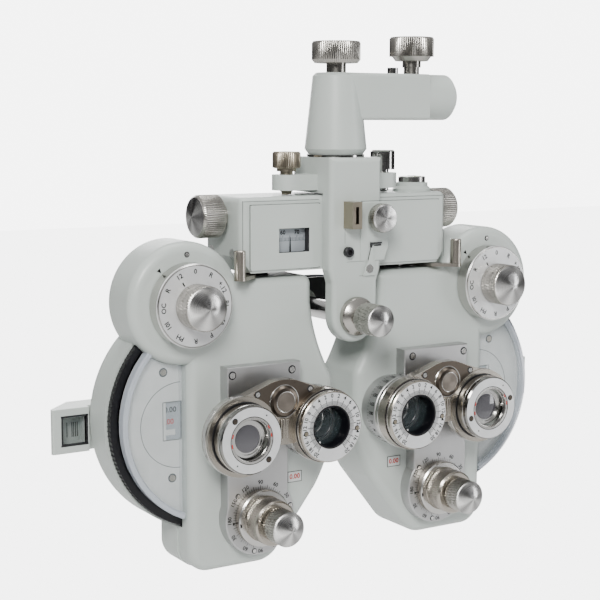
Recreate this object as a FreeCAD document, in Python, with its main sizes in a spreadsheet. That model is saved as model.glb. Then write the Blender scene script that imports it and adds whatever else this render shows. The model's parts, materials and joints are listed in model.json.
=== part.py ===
"""Manual refractor head (phoropter): two lens batteries under a shared pupil-distance housing.

Frame: the origin is the middle of the stand rod bore's mouth. +X runs along the bore, out of its
mouth, +Y runs from the examiner to the patient and +Z is up. The places below are counted from
three datums: the plane midway between the batteries, the front face of the lens turrets' caps
and the height of the turret pivots. x is the distance from the middle plane, y the depth behind
the caps and z the height over the pivots. The right battery is drawn and the left one mirrors it.
"""
import FreeCAD
import Part
import Sketcher
import math
import os
import re

SIZES = {
    # datums in the part's own frame
    "middle_x": -86, "cap_y": -41.5, "pivot_z": -180.5,
    # axes: sight opening, lens wheels, auxiliary dial, cylinder knobs, turret, cross cylinder
    "eye_x": 32.5, "eye_z": -17.3, "wheel_x": 87.1, "wheel_z": -12,
    "dial_x": 112, "dial_z": 58.75, "knob_x": 67.7, "knob_z": -73.5,
    "turret_x": 61.1, "cross_x": 88.9, "cross_z": -18.5,
    # battery casings
    "casing_front": 28, "split_y": 44, "casing_back": 70, "wall": 3,
    "top_z": 71, "bottom_z": -106.3, "nose_x": 8.2, "outer_x": 111, "shoulder_x": 24.6,
    "bump_radius": 36.7, "bump_back": 57.5, "shell_radius": 71.5, "eyepiece_back": 78,
    "rim_round": 6, "heel_radius": 14,
    # lens wheels, all on one arbor, and their gears
    "wheel_radius": 69.8, "disc_radius": 66.5, "lens_hole": 10, "arbor_radius": 5,
    "running_gap": 0.05, "ring_gear": 45, "dial_gear": 30, "knob_gear": 19.5, "gear_gap": 0.15,
    "wheel_front": 39, "wheel_back": 43.7,
    "cyl_disc_radius": 40.3, "cyl_x": 56, "cyl_z": -36.3,
    # dials and knobs
    "dial_radius": 24.9, "dial_front": 17.3, "strong_radius": 13.5, "strong_tip": -1.3,
    "plate_front": 19, "axis_radius": 14, "axis_base": 17.5, "cyl_knob_radius": 10.6,
    # sight opening and turret
    "ring_radius": 22.4, "sight_radius": 10.2, "turret_back": 9.3, "prism_radius": 21.8,
    "prism_front": -6, "prism_bore": 15, "cross_radius": 20.4, "cross_front": -7.8,
    "cross_bore": 16.4, "cell_radius": 11.2, "cell_y": -1.8, "pivot_radius": 4,
    # convergence pivots and levers
    "hinge_x": 50, "hinge_y": 53, "hinge_radius": 6.5, "crank_x": 62, "crank_y": 50,
    "post_x": 80.5, "post_y": 21, "post_top": 89.4,
    # pupil-distance housing, spindle and rods
    "box_x": 76.5, "box_front": 27, "box_back": 72, "box_bottom": 74.5, "box_top": 120,
    "spindle_y": 50, "spindle_z": 108, "spindle_radius": 5, "pd_knob_radius": 13.1,
    "rod_radius": 3, "rod_z": 86, "front_rod_y": 38, "rear_rod_y": 64,
    # column, level screw and forehead rest
    "column_x": 19, "column_front": 17.5, "column_back": 26.7, "column_top": 143,
    "block_back": 62, "block_bottom": 121.3, "forehead_z": 45, "toe_radius": 16.5,
    "tilt_z": 97, "tilt_radius": 6, "level_x": 36, "level_y": 41.5,
    # swivel and mount arm
    "swivel_y": 41.5, "post_radius": 8, "arm_bottom": 165.8, "arm_top": 195, "arm_x": 62.4,
    "nose_end": 86, "nose_radius": 14.65, "bore_z": 180.5, "bore_radius": 8, "bore_length": 50,
    "clamp_x": 58, "screw_x": 43.2,
}

doc = FreeCAD.newDocument("phoropter")
sheet = doc.addObject("Spreadsheet::Sheet", "dim")
for row, (alias, number) in enumerate(SIZES.items(), 1):
    sheet.set("A%d" % row, alias)
    sheet.set("B%d" % row, str(number))
    sheet.setAlias("B%d" % row, alias)
doc.recompute()

VECTOR = FreeCAD.Vector
# how a piece's own axis points: at the examiner, up, or to the right
FRONT, UP, SIDE = "front", "up", "side"
TURNS = {
    FRONT: FreeCAD.Rotation(VECTOR(1, 0, 0), 90),
    UP: FreeCAD.Rotation(),
    SIDE: FreeCAD.Rotation(VECTOR(1, 1, 1), 120),
}
NODES = []


def formula(text):
    """The text with the sheet's name before each of its aliases."""
    return re.sub(r"[a-z][a-z_]*", lambda word: "dim." * (word[0] in SIZES) + word[0], str(text))


def number(text):
    return float(sheet.evalExpression(formula(text)))


def bind(item, **properties):
    for name, text in properties.items():
        item.setExpression(name.replace("__", "."), formula(text))
    return item


def place(item, x, y, z, facing):
    item.Placement = FreeCAD.Placement(VECTOR(), TURNS[facing])
    bind(item, Placement__Base__x="middle_x + %s" % x, Placement__Base__y="cap_y + %s" % y,
         Placement__Base__z="pivot_z + %s" % z)
    return item


def node(item, label):
    """Keep a finished object as one sub-part under its own name."""
    item.Label = label
    NODES.append(item)
    return item


def plane(body, role):
    return [feature for feature in body.Origin.OriginFeatures if feature.Role == role][0]


def arc(start, end, radius):
    """The short arc between two points, counter-clockwise when the radius is positive."""
    chord = end - start
    middle = (start + end) * 0.5
    side = VECTOR(-chord.y, chord.x, 0).normalize() * math.copysign(1, radius)
    rise = math.sqrt(max(radius ** 2 - chord.Length ** 2 / 4, 0))
    return Part.Arc(start, middle + side * (rise - abs(radius)), end)


def draw(sketch, corners):
    """A closed outline. A corner's third value is the radius of an arc to the next corner."""
    points = [VECTOR(number(corner[0]), number(corner[1]), 0) for corner in corners]
    first = sketch.GeometryCount
    ends = []
    for index, corner in enumerate(corners):
        start, end = points[index], points[(index + 1) % len(points)]
        if len(corner) == 3:
            edge = sketch.addGeometry(arc(start, end, number(corner[2])), False)
            sketch.setExpression("Constraints[%d]" % sketch.addConstraint(
                Sketcher.Constraint("Radius", edge, abs(number(corner[2])))), formula("abs(%s)" % corner[2]))
        else:
            edge = sketch.addGeometry(Part.LineSegment(start, end), False)
        forwards = sketch.getPoint(edge, 1).distanceToPoint(start) < 1e-6
        ends.append((1, 2) if forwards else (2, 1))
    for index, corner in enumerate(corners):
        after = (index + 1) % len(corners)
        sketch.addConstraint(Sketcher.Constraint(
            "Coincident", first + index, ends[index][1], first + after, ends[after][0]))
        for kind, text, value in (("DistanceX", corner[0], points[index].x),
                                  ("DistanceY", corner[1], points[index].y)):
            made = sketch.addConstraint(
                Sketcher.Constraint(kind, -1, 1, first + index, ends[index][0], value))
            sketch.setExpression("Constraints[%d]" % made, formula(text))


def draw_circle(sketch, x, y, radius):
    edge = sketch.addGeometry(
        Part.Circle(VECTOR(number(x), number(y), 0), VECTOR(0, 0, 1), number(radius)), False)
    for kind, text in (("DistanceX", x), ("DistanceY", y)):
        made = sketch.addConstraint(Sketcher.Constraint(kind, -1, 1, edge, 3, number(text)))
        sketch.setExpression("Constraints[%d]" % made, formula(text))
    made = sketch.addConstraint(Sketcher.Constraint("Radius", edge, number(radius)))
    sketch.setExpression("Constraints[%d]" % made, formula(radius))


def new_sketch(body, role, level="0"):
    sketch = body.newObject("Sketcher::SketchObject", body.Name + "_sketch")
    sketch.AttachmentSupport = (plane(body, role), [""])
    sketch.MapMode = "FlatFace"
    return bind(sketch, AttachmentOffset__Base__z=level)


def new_body(name, x, y, z, facing):
    return place(doc.addObject("PartDesign::Body", name), x, y, z, facing)


def turned(name, profile, at, facing):
    """A solid of revolution from (radius, distance along its axis) corners. A piece that faces
    the examiner counts that distance backwards, as depth."""
    body = new_body(name, *at, facing)
    sketch = new_sketch(body, "XZ_Plane")
    sign = "-" if facing == FRONT else ""
    draw(sketch, [(corner[0], "%s(%s)" % (sign, corner[1])) + tuple(corner[2:]) for corner in profile])
    spin = body.newObject("PartDesign::Revolution", name + "_spin")
    spin.Profile = sketch
    spin.ReferenceAxis = (sketch, ["V_Axis"])
    spin.Angle = 360
    return body


def levels(low, high, facing):
    """Where a pad starts on its own axis and how long it is. Faces to the front count as depth."""
    start = "-(%s)" % high if facing == FRONT else "(%s)" % low
    return start, "(%s) - (%s)" % (high, low)


def pad(body, low, high, facing, outline=None, circles=()):
    start, length = levels(low, high, facing)
    sketch = new_sketch(body, "XY_Plane", start)
    if outline:
        draw(sketch, outline)
    for circle in circles:
        draw_circle(sketch, *circle)
    made = body.newObject("PartDesign::Pad", body.Name + "_pad")
    made.Profile = sketch
    bind(made, Length=length)
    doc.recompute()
    return made


def pocket(body, low, high, facing, outline=None, circles=()):
    before = body.Shape.Volume
    start, length = levels(low, high, facing)
    sketch = new_sketch(body, "XY_Plane", start)
    if outline:
        draw(sketch, outline)
    for circle in circles:
        draw_circle(sketch, *circle)
    made = body.newObject("PartDesign::Pocket", body.Name + "_pocket")
    made.Profile = sketch
    made.Reversed = True
    bind(made, Length=length)
    doc.recompute()
    if body.Shape.Volume >= before:
        raise ValueError("nothing cut from " + body.Name)
    return made


def pattern(body, feature, count):
    made = body.newObject("PartDesign::PolarPattern", body.Name + "_pattern")
    made.Originals = [feature]
    made.Axis = (plane(body, "Z_Axis"), [""])
    made.Angle = 360
    made.Occurrences = count
    body.Tip = made
    doc.recompute()
    return made


def edge_names(feature, chosen):
    return ["Edge%d" % index for index, edge in enumerate(feature.Shape.Edges, 1) if chosen(edge)]


def rounded(body, feature, radius, chosen):
    made = body.newObject("PartDesign::Fillet", body.Name + "_round")
    made.Base = (feature, edge_names(feature, chosen))
    bind(made, Radius=radius)
    doc.recompute()
    return made


def along_axis(edge):
    """Whether an edge runs straight along the pad's own direction."""
    first, last = edge.Vertexes[0].Point, edge.Vertexes[-1].Point
    return abs(first.x - last.x) + abs(first.y - last.y) < 1e-6 and edge.Length > 1e-3


def at_level(level):
    """A test for edges that lie in one flat face across the pad's own direction."""
    def chosen(edge):
        box = edge.BoundBox
        return abs(box.ZMin - number(level)) < 1e-4 and abs(box.ZMax - number(level)) < 1e-4
    return chosen


def hollow(body, feature, level):
    """Hollow a casing to its wall thickness through the flat face at one level."""
    names = ["Face%d" % index for index, face in enumerate(feature.Shape.Faces, 1)
             if at_level(level)(face)]
    made = body.newObject("PartDesign::Thickness", body.Name + "_hollow")
    made.Base = (feature, names)
    made.Reversed = True
    made.Join = "Intersection"
    bind(made, Value="wall")
    doc.recompute()
    return made


def cylinder(radius, low, high, at, facing):
    start, length = levels(low, high, facing)
    item = doc.addObject("Part::Cylinder", "round")
    bind(item, Radius=radius, Height=length)
    offset = {FRONT: (0, "-(%s)" % start, 0), UP: (0, 0, start), SIDE: (start, 0, 0)}[facing]
    return place(item, *["(%s) + (%s)" % pair for pair in zip(at, offset)], facing)


def block(x, y, z):
    """A box between two places along each direction."""
    item = doc.addObject("Part::Box", "block")
    bind(item, Length="(%s) - (%s)" % (x[1], x[0]), Width="(%s) - (%s)" % (y[1], y[0]),
         Height="(%s) - (%s)" % (z[1], z[0]))
    return place(item, x[0], y[0], z[0], UP)


def fused(*pieces):
    item = doc.addObject("Part::MultiFuse", "fused")
    item.Shapes = list(pieces)
    item.Refine = True
    return item


def without(base, *tools):
    item = doc.addObject("Part::Cut", "cut")
    item.Base = base
    item.Tool = fused(*tools) if len(tools) > 1 else tools[0]
    return item


def group(*pieces):
    item = doc.addObject("Part::Compound", "group")
    item.Links = list(pieces)
    return item


# ---------------------------------------------------------------- stand, swivel and column

MIDDLE = ("0", "swivel_y", "0")


def mount_arm():
    cone = turned("arm_cone", [("0", "144.5"), ("17", "144.5"), ("19.5", "148"), ("14.7", "arm_top - 2"),
                               ("12.7", "arm_top"), ("0", "arm_top")], MIDDLE, UP)
    bar = new_body("arm_bar", "0", "0", "0", SIDE)
    depth = "swivel_y - nose_radius", "swivel_y + nose_radius"
    base = pad(bar, "0", "arm_x", SIDE, [(depth[0], "arm_bottom"), (depth[1], "arm_bottom"),
                                         (depth[1], "arm_top"), (depth[0], "arm_top")])
    rounded(bar, base, "2.5", along_axis)
    nose = turned("arm_nose", [("0", "arm_x - 6"), ("nose_radius", "arm_x - 6"),
                               ("nose_radius", "nose_end - 2.5"),
                               ("nose_radius - 2.5", "nose_end"), ("0", "nose_end")],
                  ("0", "swivel_y", "bore_z"), SIDE)
    arm = without(
        fused(cone, bar, nose),
        cylinder("bore_radius", "nose_end - bore_length", "nose_end + 1", ("0", "swivel_y", "bore_z"), SIDE),
        cylinder("post_radius + running_gap", "140", "187", MIDDLE, UP),
        cylinder("6.3", "186", "200", MIDDLE, UP),
        cylinder("4", "bore_z", "200", ("clamp_x", "swivel_y", "0"), UP),
        cylinder("3.05", "bore_z", "200", ("screw_x", "swivel_y", "0"), UP))
    node(arm, "mount_arm")


def stand_screws():
    clamp = [("0", "189"), ("3.95", "189"), ("3.95", "arm_top + 0.3"), ("5", "arm_top + 0.3"), ("5", "199.5"),
             ("6", "199.5"), ("6", "203.5"), ("10.5", "203.5"), ("12.5", "206.3"), ("14.3", "206.3"),
             ("14.3", "217.8"), ("13.1", "219"), ("0", "219")]
    node(turned("stand_clamp_knob", clamp, ("clamp_x", "swivel_y", "0"), UP), "stand_clamp_knob")
    stud = [("0", "189"), ("3", "189"), ("3", "arm_top + 0.2"), ("3.5", "arm_top + 0.2"), ("3.5", "199"),
            ("0", "199")]
    screw = turned("set_screw", stud, ("screw_x", "swivel_y", "0"), UP)
    slot = block(("screw_x - 4", "screw_x + 4"), ("swivel_y - 0.5", "swivel_y + 0.5"), ("197.8", "200"))
    node(without(screw, slot), "mount_set_screw")


def swivel():
    post = [("4", "125"), ("post_radius", "125"), ("post_radius", "column_top"), ("18", "column_top"),
            ("18", "column_top + 1.3"), ("post_radius", "column_top + 1.3"), ("post_radius", "185"),
            ("4", "185")]
    node(turned("swivel_post", post, MIDDLE, UP), "swivel_post")
    knob = [("0", "168"), ("3.95", "168"), ("3.95", "186.3"), ("6.2", "186.3"), ("6.2", "201"),
            ("13.5", "201"),
            ("15.2", "203"), ("15.2", "213.3"), ("14", "214.5"), ("0", "214.5")]
    node(turned("swivel_clamp_knob", knob, MIDDLE, UP), "swivel_clamp_knob")


def centre_bracket():
    column = new_body("column", "0", "0", "0", FRONT)
    outline = [("-toe_radius", "forehead_z", "toe_radius"), ("0", "forehead_z - toe_radius", "toe_radius"),
               ("toe_radius", "forehead_z"), ("toe_radius", "66"), ("column_x", "74"),
               ("column_x", "column_top"), ("-column_x", "column_top"), ("-column_x", "74"),
               ("-toe_radius", "66")]
    slab = pad(column, "column_front", "column_back", FRONT, outline)
    rounded(column, slab, "3", at_level("-column_front"))
    head = new_body("column_head", "0", "0", "0", UP)
    top = pad(head, "block_bottom", "column_top", UP,
              [("-column_x", "column_front + 5"), ("column_x", "column_front + 5"),
               ("column_x", "block_back"), ("-column_x", "block_back")])
    back_limit = number("block_back - 1")
    rounded(head, top, "2.5", lambda edge: along_axis(edge) and edge.CenterOfMass.y > back_limit)
    ears = []
    for side in ("-1", "1"):
        ear = new_body("ear", "0", "0", "0", UP)
        reach = "%s * level_x" % side
        pad(ear, "123", "132.6", UP, [("%s * (column_x - 1)" % side, "level_y - 9"),
                                      (reach, "level_y - 9", "%s * 9" % side),
                                      ("%s * (level_x + 9)" % side, "level_y", "%s * 9" % side),
                                      (reach, "level_y + 9"),
                                      ("%s * (column_x - 1)" % side, "level_y + 9")])
        ears.append(ear)
    rib = block(("-9", "9"), ("column_back - 1", "36"), ("40", "73.5"))
    pin = cylinder("tilt_radius", "column_back - 1", "38", ("0", "0", "tilt_z"), FRONT)
    bracket = without(
        fused(column, head, rib, pin, *ears),
        cylinder("post_radius", "125", "150", MIDDLE, UP),
        cylinder("4.05", "10", "40", ("0", "0", "forehead_z"), FRONT),
        cylinder("4.05", "120", "135", ("-level_x", "level_y", "0"), UP),
        cylinder("4.05", "120", "135", ("level_x", "level_y", "0"), UP),
        cylinder("3", "12", "30", ("13.5", "0", "106"), FRONT),
        block(("-9.5", "-2.5"), ("10", "24"), ("100", "116.5")))
    node(bracket, "centre_bracket")


def level_gear():
    screw = [("0", "box_top + 0.3"), ("3", "box_top + 0.3"), ("3", "121.5"), ("4", "122.5"), ("4", "134.6"),
             ("6", "134.6"), ("6", "136.4"), ("7.7", "136.4"), ("8.7", "137"), ("8.7", "145.8"),
             ("7.7", "146.8"),
             ("0", "146.8")]
    node(turned("level_screw", screw, ("-level_x", "level_y", "0"), UP), "level_screw")
    plunger = [("0", "box_top + 0.3"), ("3", "box_top + 0.3"), ("4", "121.5"), ("4", "134.6"),
               ("7.8", "134.6"),
               ("7.8", "146"), ("6.8", "147"), ("0", "147")]
    node(turned("level_plunger", plunger, ("level_x", "level_y", "0"), UP), "level_plunger")


def near_rod_gear():
    socket = without(block(("-9.5", "-2.5"), ("7.5", "24"), ("100", "116.5")),
                     block(("-7.1", "-4.9"), ("6", "22"), ("103", "113.5")))
    node(socket, "rod_socket")
    knob = [("0", "3.8"), ("8", "5"), ("9", "6"), ("9", "12"), ("5", "12"), ("5", "17.2"), ("2.95", "17.2"),
            ("2.95", "26"), ("0", "26")]
    node(turned("rod_clamp_knob", knob, ("13.5", "0", "106"), FRONT), "rod_clamp_knob")


def forehead_gear():
    knob = [("0", "-13.2"), ("9", "-10.6"), ("9.8", "-9.8"), ("9.8", "6.5"), ("6.4", "8"), ("6.4", "11"),
            ("12.1", "13.5"), ("12.1", "17.2"), ("4", "17.2"), ("4", "61"), ("0", "61")]
    node(turned("forehead_knob", knob, ("0", "0", "forehead_z"), FRONT), "forehead_knob")
    stem = without(cylinder("6.5", "42", "80", ("0", "0", "forehead_z"), FRONT),
                   cylinder("4.05", "41", "62.5", ("0", "0", "forehead_z"), FRONT))
    pillow = new_body("pillow", "0", "0", "0", UP)
    cushion = pad(pillow, "forehead_z - 7", "forehead_z + 19", UP,
                  [("-30", "79.5"), ("30", "79.5"), ("30", "84"), ("20", "87", "60"), ("-20", "87"),
                   ("-30", "84")])
    rounded(pillow, cushion, "2", along_axis)
    node(fused(stem, pillow), "forehead_rest")


# ---------------------------------------------------------------- pupil-distance housing

def wedge(side, low, high, corners):
    body = new_body("wedge", "0", "0", "0", FRONT)
    pad(body, low, high, FRONT, [("%s * (%s)" % (side, x), z) for x, z in corners])
    return body


def pd_housing():
    shell = new_body("box", "0", "0", "0", UP)
    base = pad(shell, "box_bottom", "box_top", UP,
               [("-box_x", "box_front"), ("box_x", "box_front"), ("box_x", "box_back"),
                ("-box_x", "box_back")])
    corners = rounded(shell, base, "4", along_axis)
    open_box = hollow(shell, corners, "box_bottom")
    rounded(shell, open_box, "3.5", at_level("box_top"))
    boss = cylinder("10", "box_front + 1", "40", ("0", "0", "tilt_z"), FRONT)
    slopes, reliefs = [], []
    for side in ("-1", "1"):
        slopes.append(wedge(side, "box_front + 2.5", "box_back - 2.5",
                            [("box_x - 10.1", "box_bottom"), ("box_x - 2", "box_bottom"),
                             ("box_x - 2", "box_bottom + 11")]))
        reliefs.append(wedge(side, "box_front - 3", "box_back + 3",
                             [("box_x - 7.8", "box_bottom - 1"), ("box_x + 2", "box_bottom - 1"),
                              ("box_x + 2", "box_bottom + 12.3")]))
    housing = without(
        fused(shell, boss, *slopes),
        *reliefs,
        cylinder("tilt_radius + running_gap", "20", "41", ("0", "0", "tilt_z"), FRONT),
        cylinder("spindle_radius + running_gap", "-90", "90", ("0", "spindle_y", "spindle_z"), SIDE),
        cylinder("rod_radius", "-box_x - 1", "box_x - 1", ("0", "front_rod_y", "rod_z"), SIDE),
        cylinder("rod_radius", "-box_x - 1", "box_x - 1", ("0", "rear_rod_y", "rod_z"), SIDE),
        block(("-50.5", "-29"), ("20", "32"), ("86", "100.7")))
    node(housing, "pd_housing")
    plates = []
    for side in ("-1", "1"):
        plate = new_body("front_plate", "0", "0", "0", FRONT)
        made = pad(plate, "box_front - 1", "box_front", FRONT,
                   [("%s * 21" % side, "76"), ("%s * 70.2" % side, "76"), ("%s * 70.2" % side, "115.3"),
                    ("%s * 21" % side, "115.3")])
        rounded(plate, made, "1.5", along_axis)
        plates.append(plate)
    window = block(("-50.5", "-29"), ("20", "32"), ("86", "100.7"))
    node(group(without(plates[0], window), plates[1]), "pd_front_plates")
    rods = [cylinder("rod_radius", "-box_x", "box_x - 1", ("0", depth, "rod_z"), SIDE)
            for depth in ("front_rod_y", "rear_rod_y")]
    node(group(*rods), "guide_rods")
    floor = block(("-box_x + 10.6", "box_x - 10.6"), ("box_front + 4", "box_back - 4"),
                  ("box_bottom", "box_bottom + 2"))
    slots = [block(("%s - 14.3" % middle, "%s + 14.3" % middle), ("hinge_y - 7", "hinge_y + 7"), ("70", "80"))
             for middle in ("hinge_x", "(-hinge_x)")]
    node(without(floor, *slots), "pd_floor")


def pd_spindle():
    knob = [("spindle_radius", "box_x + 0.4"), ("8", "box_x + 0.4"), ("8", "79"), ("pd_knob_radius", "80.5"),
            ("pd_knob_radius", "94"), ("pd_knob_radius - 1.4", "95.3"), ("0", "97.5")]
    rod = [("0", "-97.5")] + [(corner[0], "-(%s)" % corner[1]) for corner in reversed(knob[:-1])] + knob
    node(turned("pd_spindle", rod, ("0", "spindle_y", "spindle_z"), SIDE), "pd_spindle")


def spirit_level():
    vial = [("0", "box_top"), ("12.5", "box_top"), ("12.5", "121.5"), ("10.4", "123.5"), ("10.4", "125.5"),
            ("8.7", "125.5"), ("8.7", "129"), ("0", "129")]
    node(turned("spirit_level", vial, ("62", "45", "0"), UP), "spirit_level")


# ---------------------------------------------------------------- one battery

HALF = {}


def side_node(item, name):
    """Keep a right-hand piece and remember it for its mirror image."""
    HALF[name] = node(item, "right_" + name)
    return item


def casing_lines(outer, inset):
    """The casings' outline from the shoulder by the column round to the outer side's lower end."""
    corners = [("shoulder_x + {i}", "top_z - {i}"), ("shoulder_x + {i}", "54", "-(120 + {i})"),
               ("nose_x + {i}", "6"), ("nose_x + {i}", "-31", "81.5 - {i}"), ("20.9 + {i}", "-64"),
               ("54 + 0.6 * {i}", "bottom_z + {i}"),
               (outer + " - heel_radius", "bottom_z + {i}", "heel_radius - {i}"),
               (outer + " - {i}", "bottom_z + heel_radius")]
    return [tuple(text.format(i=inset) for text in corner) for corner in corners]


def front_outline(inset):
    bump = "(bump_radius - %s)" % inset
    drop = "sqrt(%s^2 - (dial_x - outer_x + %s)^2)" % (bump, inset)
    run = "sqrt(%s^2 - (top_z - %s - dial_z)^2)" % (bump, inset)
    return casing_lines("outer_x", inset) + [
        ("outer_x - %s" % inset, "dial_z - %s" % drop, bump), ("dial_x + %s" % bump, "dial_z", bump),
        ("dial_x", "dial_z + %s" % bump, bump), ("dial_x - %s" % run, "top_z - %s" % inset)]


def rear_outline(inset):
    shell = "(shell_radius - %s)" % inset
    drop = "sqrt(%s^2 - (outer_x + 1 - %s - wheel_x)^2)" % (shell, inset)
    return casing_lines("outer_x + 1", inset) + [
        ("outer_x + 1 - %s" % inset, "wheel_z - %s" % drop, shell),
        ("wheel_x + %s" % shell, "wheel_z", shell),
        ("wheel_x + 0.5 * %s" % shell, "wheel_z + sqrt(0.75) * %s" % shell),
        ("84 - 0.3 * %s" % inset, "top_z - %s" % inset)]


def corner_near(x, z):
    def chosen(edge):
        middle = edge.CenterOfMass
        return along_axis(edge) and math.hypot(middle.x - number(x), middle.y - number(z)) < 0.5
    return chosen


def round_casing(body, base, rim_level):
    """Round a casing's corners, then the rim of its outer face."""
    feature = base
    for x, z, radius in (("54", "bottom_z", "18"), ("shoulder_x", "top_z", "5"),
                         ("nose_x", "6", "10"), ("nose_x", "-31", "10")):
        feature = rounded(body, feature, radius, corner_near(x, z))
    rounded(body, feature, "rim_round", at_level(rim_level))


def front_casing():
    body = new_body("front_casing", "0", "0", "0", FRONT)
    base = pad(body, "casing_front", "split_y", FRONT, front_outline("0"))
    round_casing(body, base, "-casing_front")
    pocket(body, "casing_front + wall", "split_y", FRONT, front_outline("wall"))
    pad(body, "casing_front + 1", "37.6", FRONT, circles=[("cyl_x", "cyl_z", "3")])
    casing = without(
        body,
        cylinder("12.85", "20", "35", ("eye_x", "0", "eye_z"), FRONT),
        cylinder("5.55", "20", "35", ("knob_x", "0", "knob_z"), FRONT),
        cylinder("4.65", "20", "35", ("dial_x", "0", "dial_z"), FRONT),
        cylinder("71", "38.5", "45", ("wheel_x", "0", "wheel_z"), FRONT))
    side_node(casing, "front_casing")


def rear_casing():
    body = new_body("rear_casing", "0", "0", "0", FRONT)
    base = pad(body, "split_y", "casing_back", FRONT, rear_outline("0"))
    round_casing(body, base, "-casing_back")
    pocket(body, "split_y", "casing_back - wall", FRONT, rear_outline("wall"))
    axle = ("wheel_x", "0", "wheel_z")
    bump = without(cylinder("bump_radius", "split_y", "bump_back", ("dial_x", "0", "dial_z"), FRONT),
                   cylinder("bump_radius - wall", "split_y - 1", "bump_back - wall",
                            ("dial_x", "0", "dial_z"), FRONT),
                   cylinder("shell_radius - 1", "split_y - 1", "bump_back + 1", ("wheel_x", "0", "wheel_z"),
                            FRONT))
    casing = without(
        fused(body, bump, cylinder("arbor_radius", "38.2", "casing_back - 1", axle, FRONT),
              cylinder("9", "57", "casing_back - 1", axle, FRONT),
              cylinder("17", "casing_back - 4", "eyepiece_back", ("eye_x", "0", "eye_z"), FRONT)),
        cylinder("13", "60", "90", ("eye_x", "0", "eye_z"), FRONT),
        cylinder("bump_radius - wall", "split_y - 1", "bump_back - wall", ("dial_x", "0", "dial_z"), FRONT),
        cylinder("hinge_radius + running_gap", "60", "80", ("hinge_x", "hinge_y", "0"), UP),
        cylinder("2.55", "60", "80", ("crank_x", "crank_y", "0"), UP))
    side_node(casing, "rear_casing")


def shield_outline(radius):
    reach = "sqrt((%s)^2 - (outer_x + 0.3 - wheel_x)^2)" % radius
    return [("outer_x + 0.3", "wheel_z - %s" % reach, radius), ("wheel_x + %s" % radius, "wheel_z", radius),
            ("outer_x + 0.3", "wheel_z + %s" % reach)]


def sphere_window():
    bump = ("dial_x", "0", "dial_z")
    cover = new_body("shield", "0", "0", "0", FRONT)
    pad(cover, "31.5", "37.3", FRONT, shield_outline("65"))
    inner = cylinder("62.5", "33", "38", ("wheel_x", "0", "wheel_z"), FRONT)
    keep = block(("outer_x + 2.5", "200"), ("32", "39"), ("-90", "90"))
    cavity = doc.addObject("Part::Common", "cavity")
    cavity.Base = inner
    cavity.Tool = keep
    side_node(without(cover, cavity, cylinder("bump_radius + 0.3", "25", "45", bump, FRONT)), "sphere_shield")
    scale = new_body("scale", "0", "0", "0", FRONT)
    pad(scale, "37.4", "38.3", FRONT, shield_outline("64.8"))
    reading = block(("outer_x - 5", "122"), ("30", "45"), ("wheel_z - 11.5", "wheel_z + 11.5"))
    side_node(without(scale, reading, cylinder("bump_radius + 0.3", "25", "45", bump, FRONT)),
              "sphere_scale_plate")


def drilled(body, low, high, count, x, z, radius="lens_hole"):
    hole = pocket(body, low, high, FRONT, circles=[(x, z, radius)])
    pattern(body, hole, count)


def lens_wheels():
    axle = ("wheel_x", "0", "wheel_z")
    sight = ("eye_x - wheel_x", "eye_z - wheel_z")
    bore = "arbor_radius + running_gap"
    wheel = turned("weak_wheel", [(bore, "wheel_front"), ("10", "wheel_front"), ("10", "40.6"),
                                  ("65.6", "40.6"),
                                  ("65.6", "wheel_front"), ("wheel_radius", "wheel_front"),
                                  ("wheel_radius", "wheel_back"), ("65.6", "wheel_back"), ("65.6", "42.4"),
                                  ("10", "42.4"), ("10", "wheel_back"), (bore, "wheel_back")], axle, FRONT)
    doc.recompute()
    drilled(wheel, "40", "43", 12, *sight)
    side_node(wheel, "weak_sphere_wheel")
    for name, front in (("aux_lens_disc", 44.9), ("strong_sphere_disc", 50.3)):
        disc = turned(name, [(bore, str(front)), ("ring_gear - gear_gap", str(front)),
                             ("ring_gear - gear_gap", str(front + 2)), ("disc_radius", str(front + 2)),
                             ("disc_radius", str(front + 4.4)), (bore, str(front + 4.4))], axle, FRONT)
        doc.recompute()
        drilled(disc, str(front + 1), str(front + 5), 12, *sight)
        side_node(disc, name)
    disc = turned("cylinder_disc", [("3.05", "32.6"), ("knob_gear - gear_gap", "32.6"),
                                    ("knob_gear - gear_gap", "34.6"),
                                    ("cyl_disc_radius", "34.6"), ("cyl_disc_radius", "37"), ("3.05", "37")],
                  ("cyl_x", "0", "cyl_z"), FRONT)
    doc.recompute()
    drilled(disc, "34", "38", 8, "eye_x - cyl_x", "eye_z - cyl_z", "lens_hole - 1")
    side_node(disc, "cylinder_lens_disc")


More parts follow.
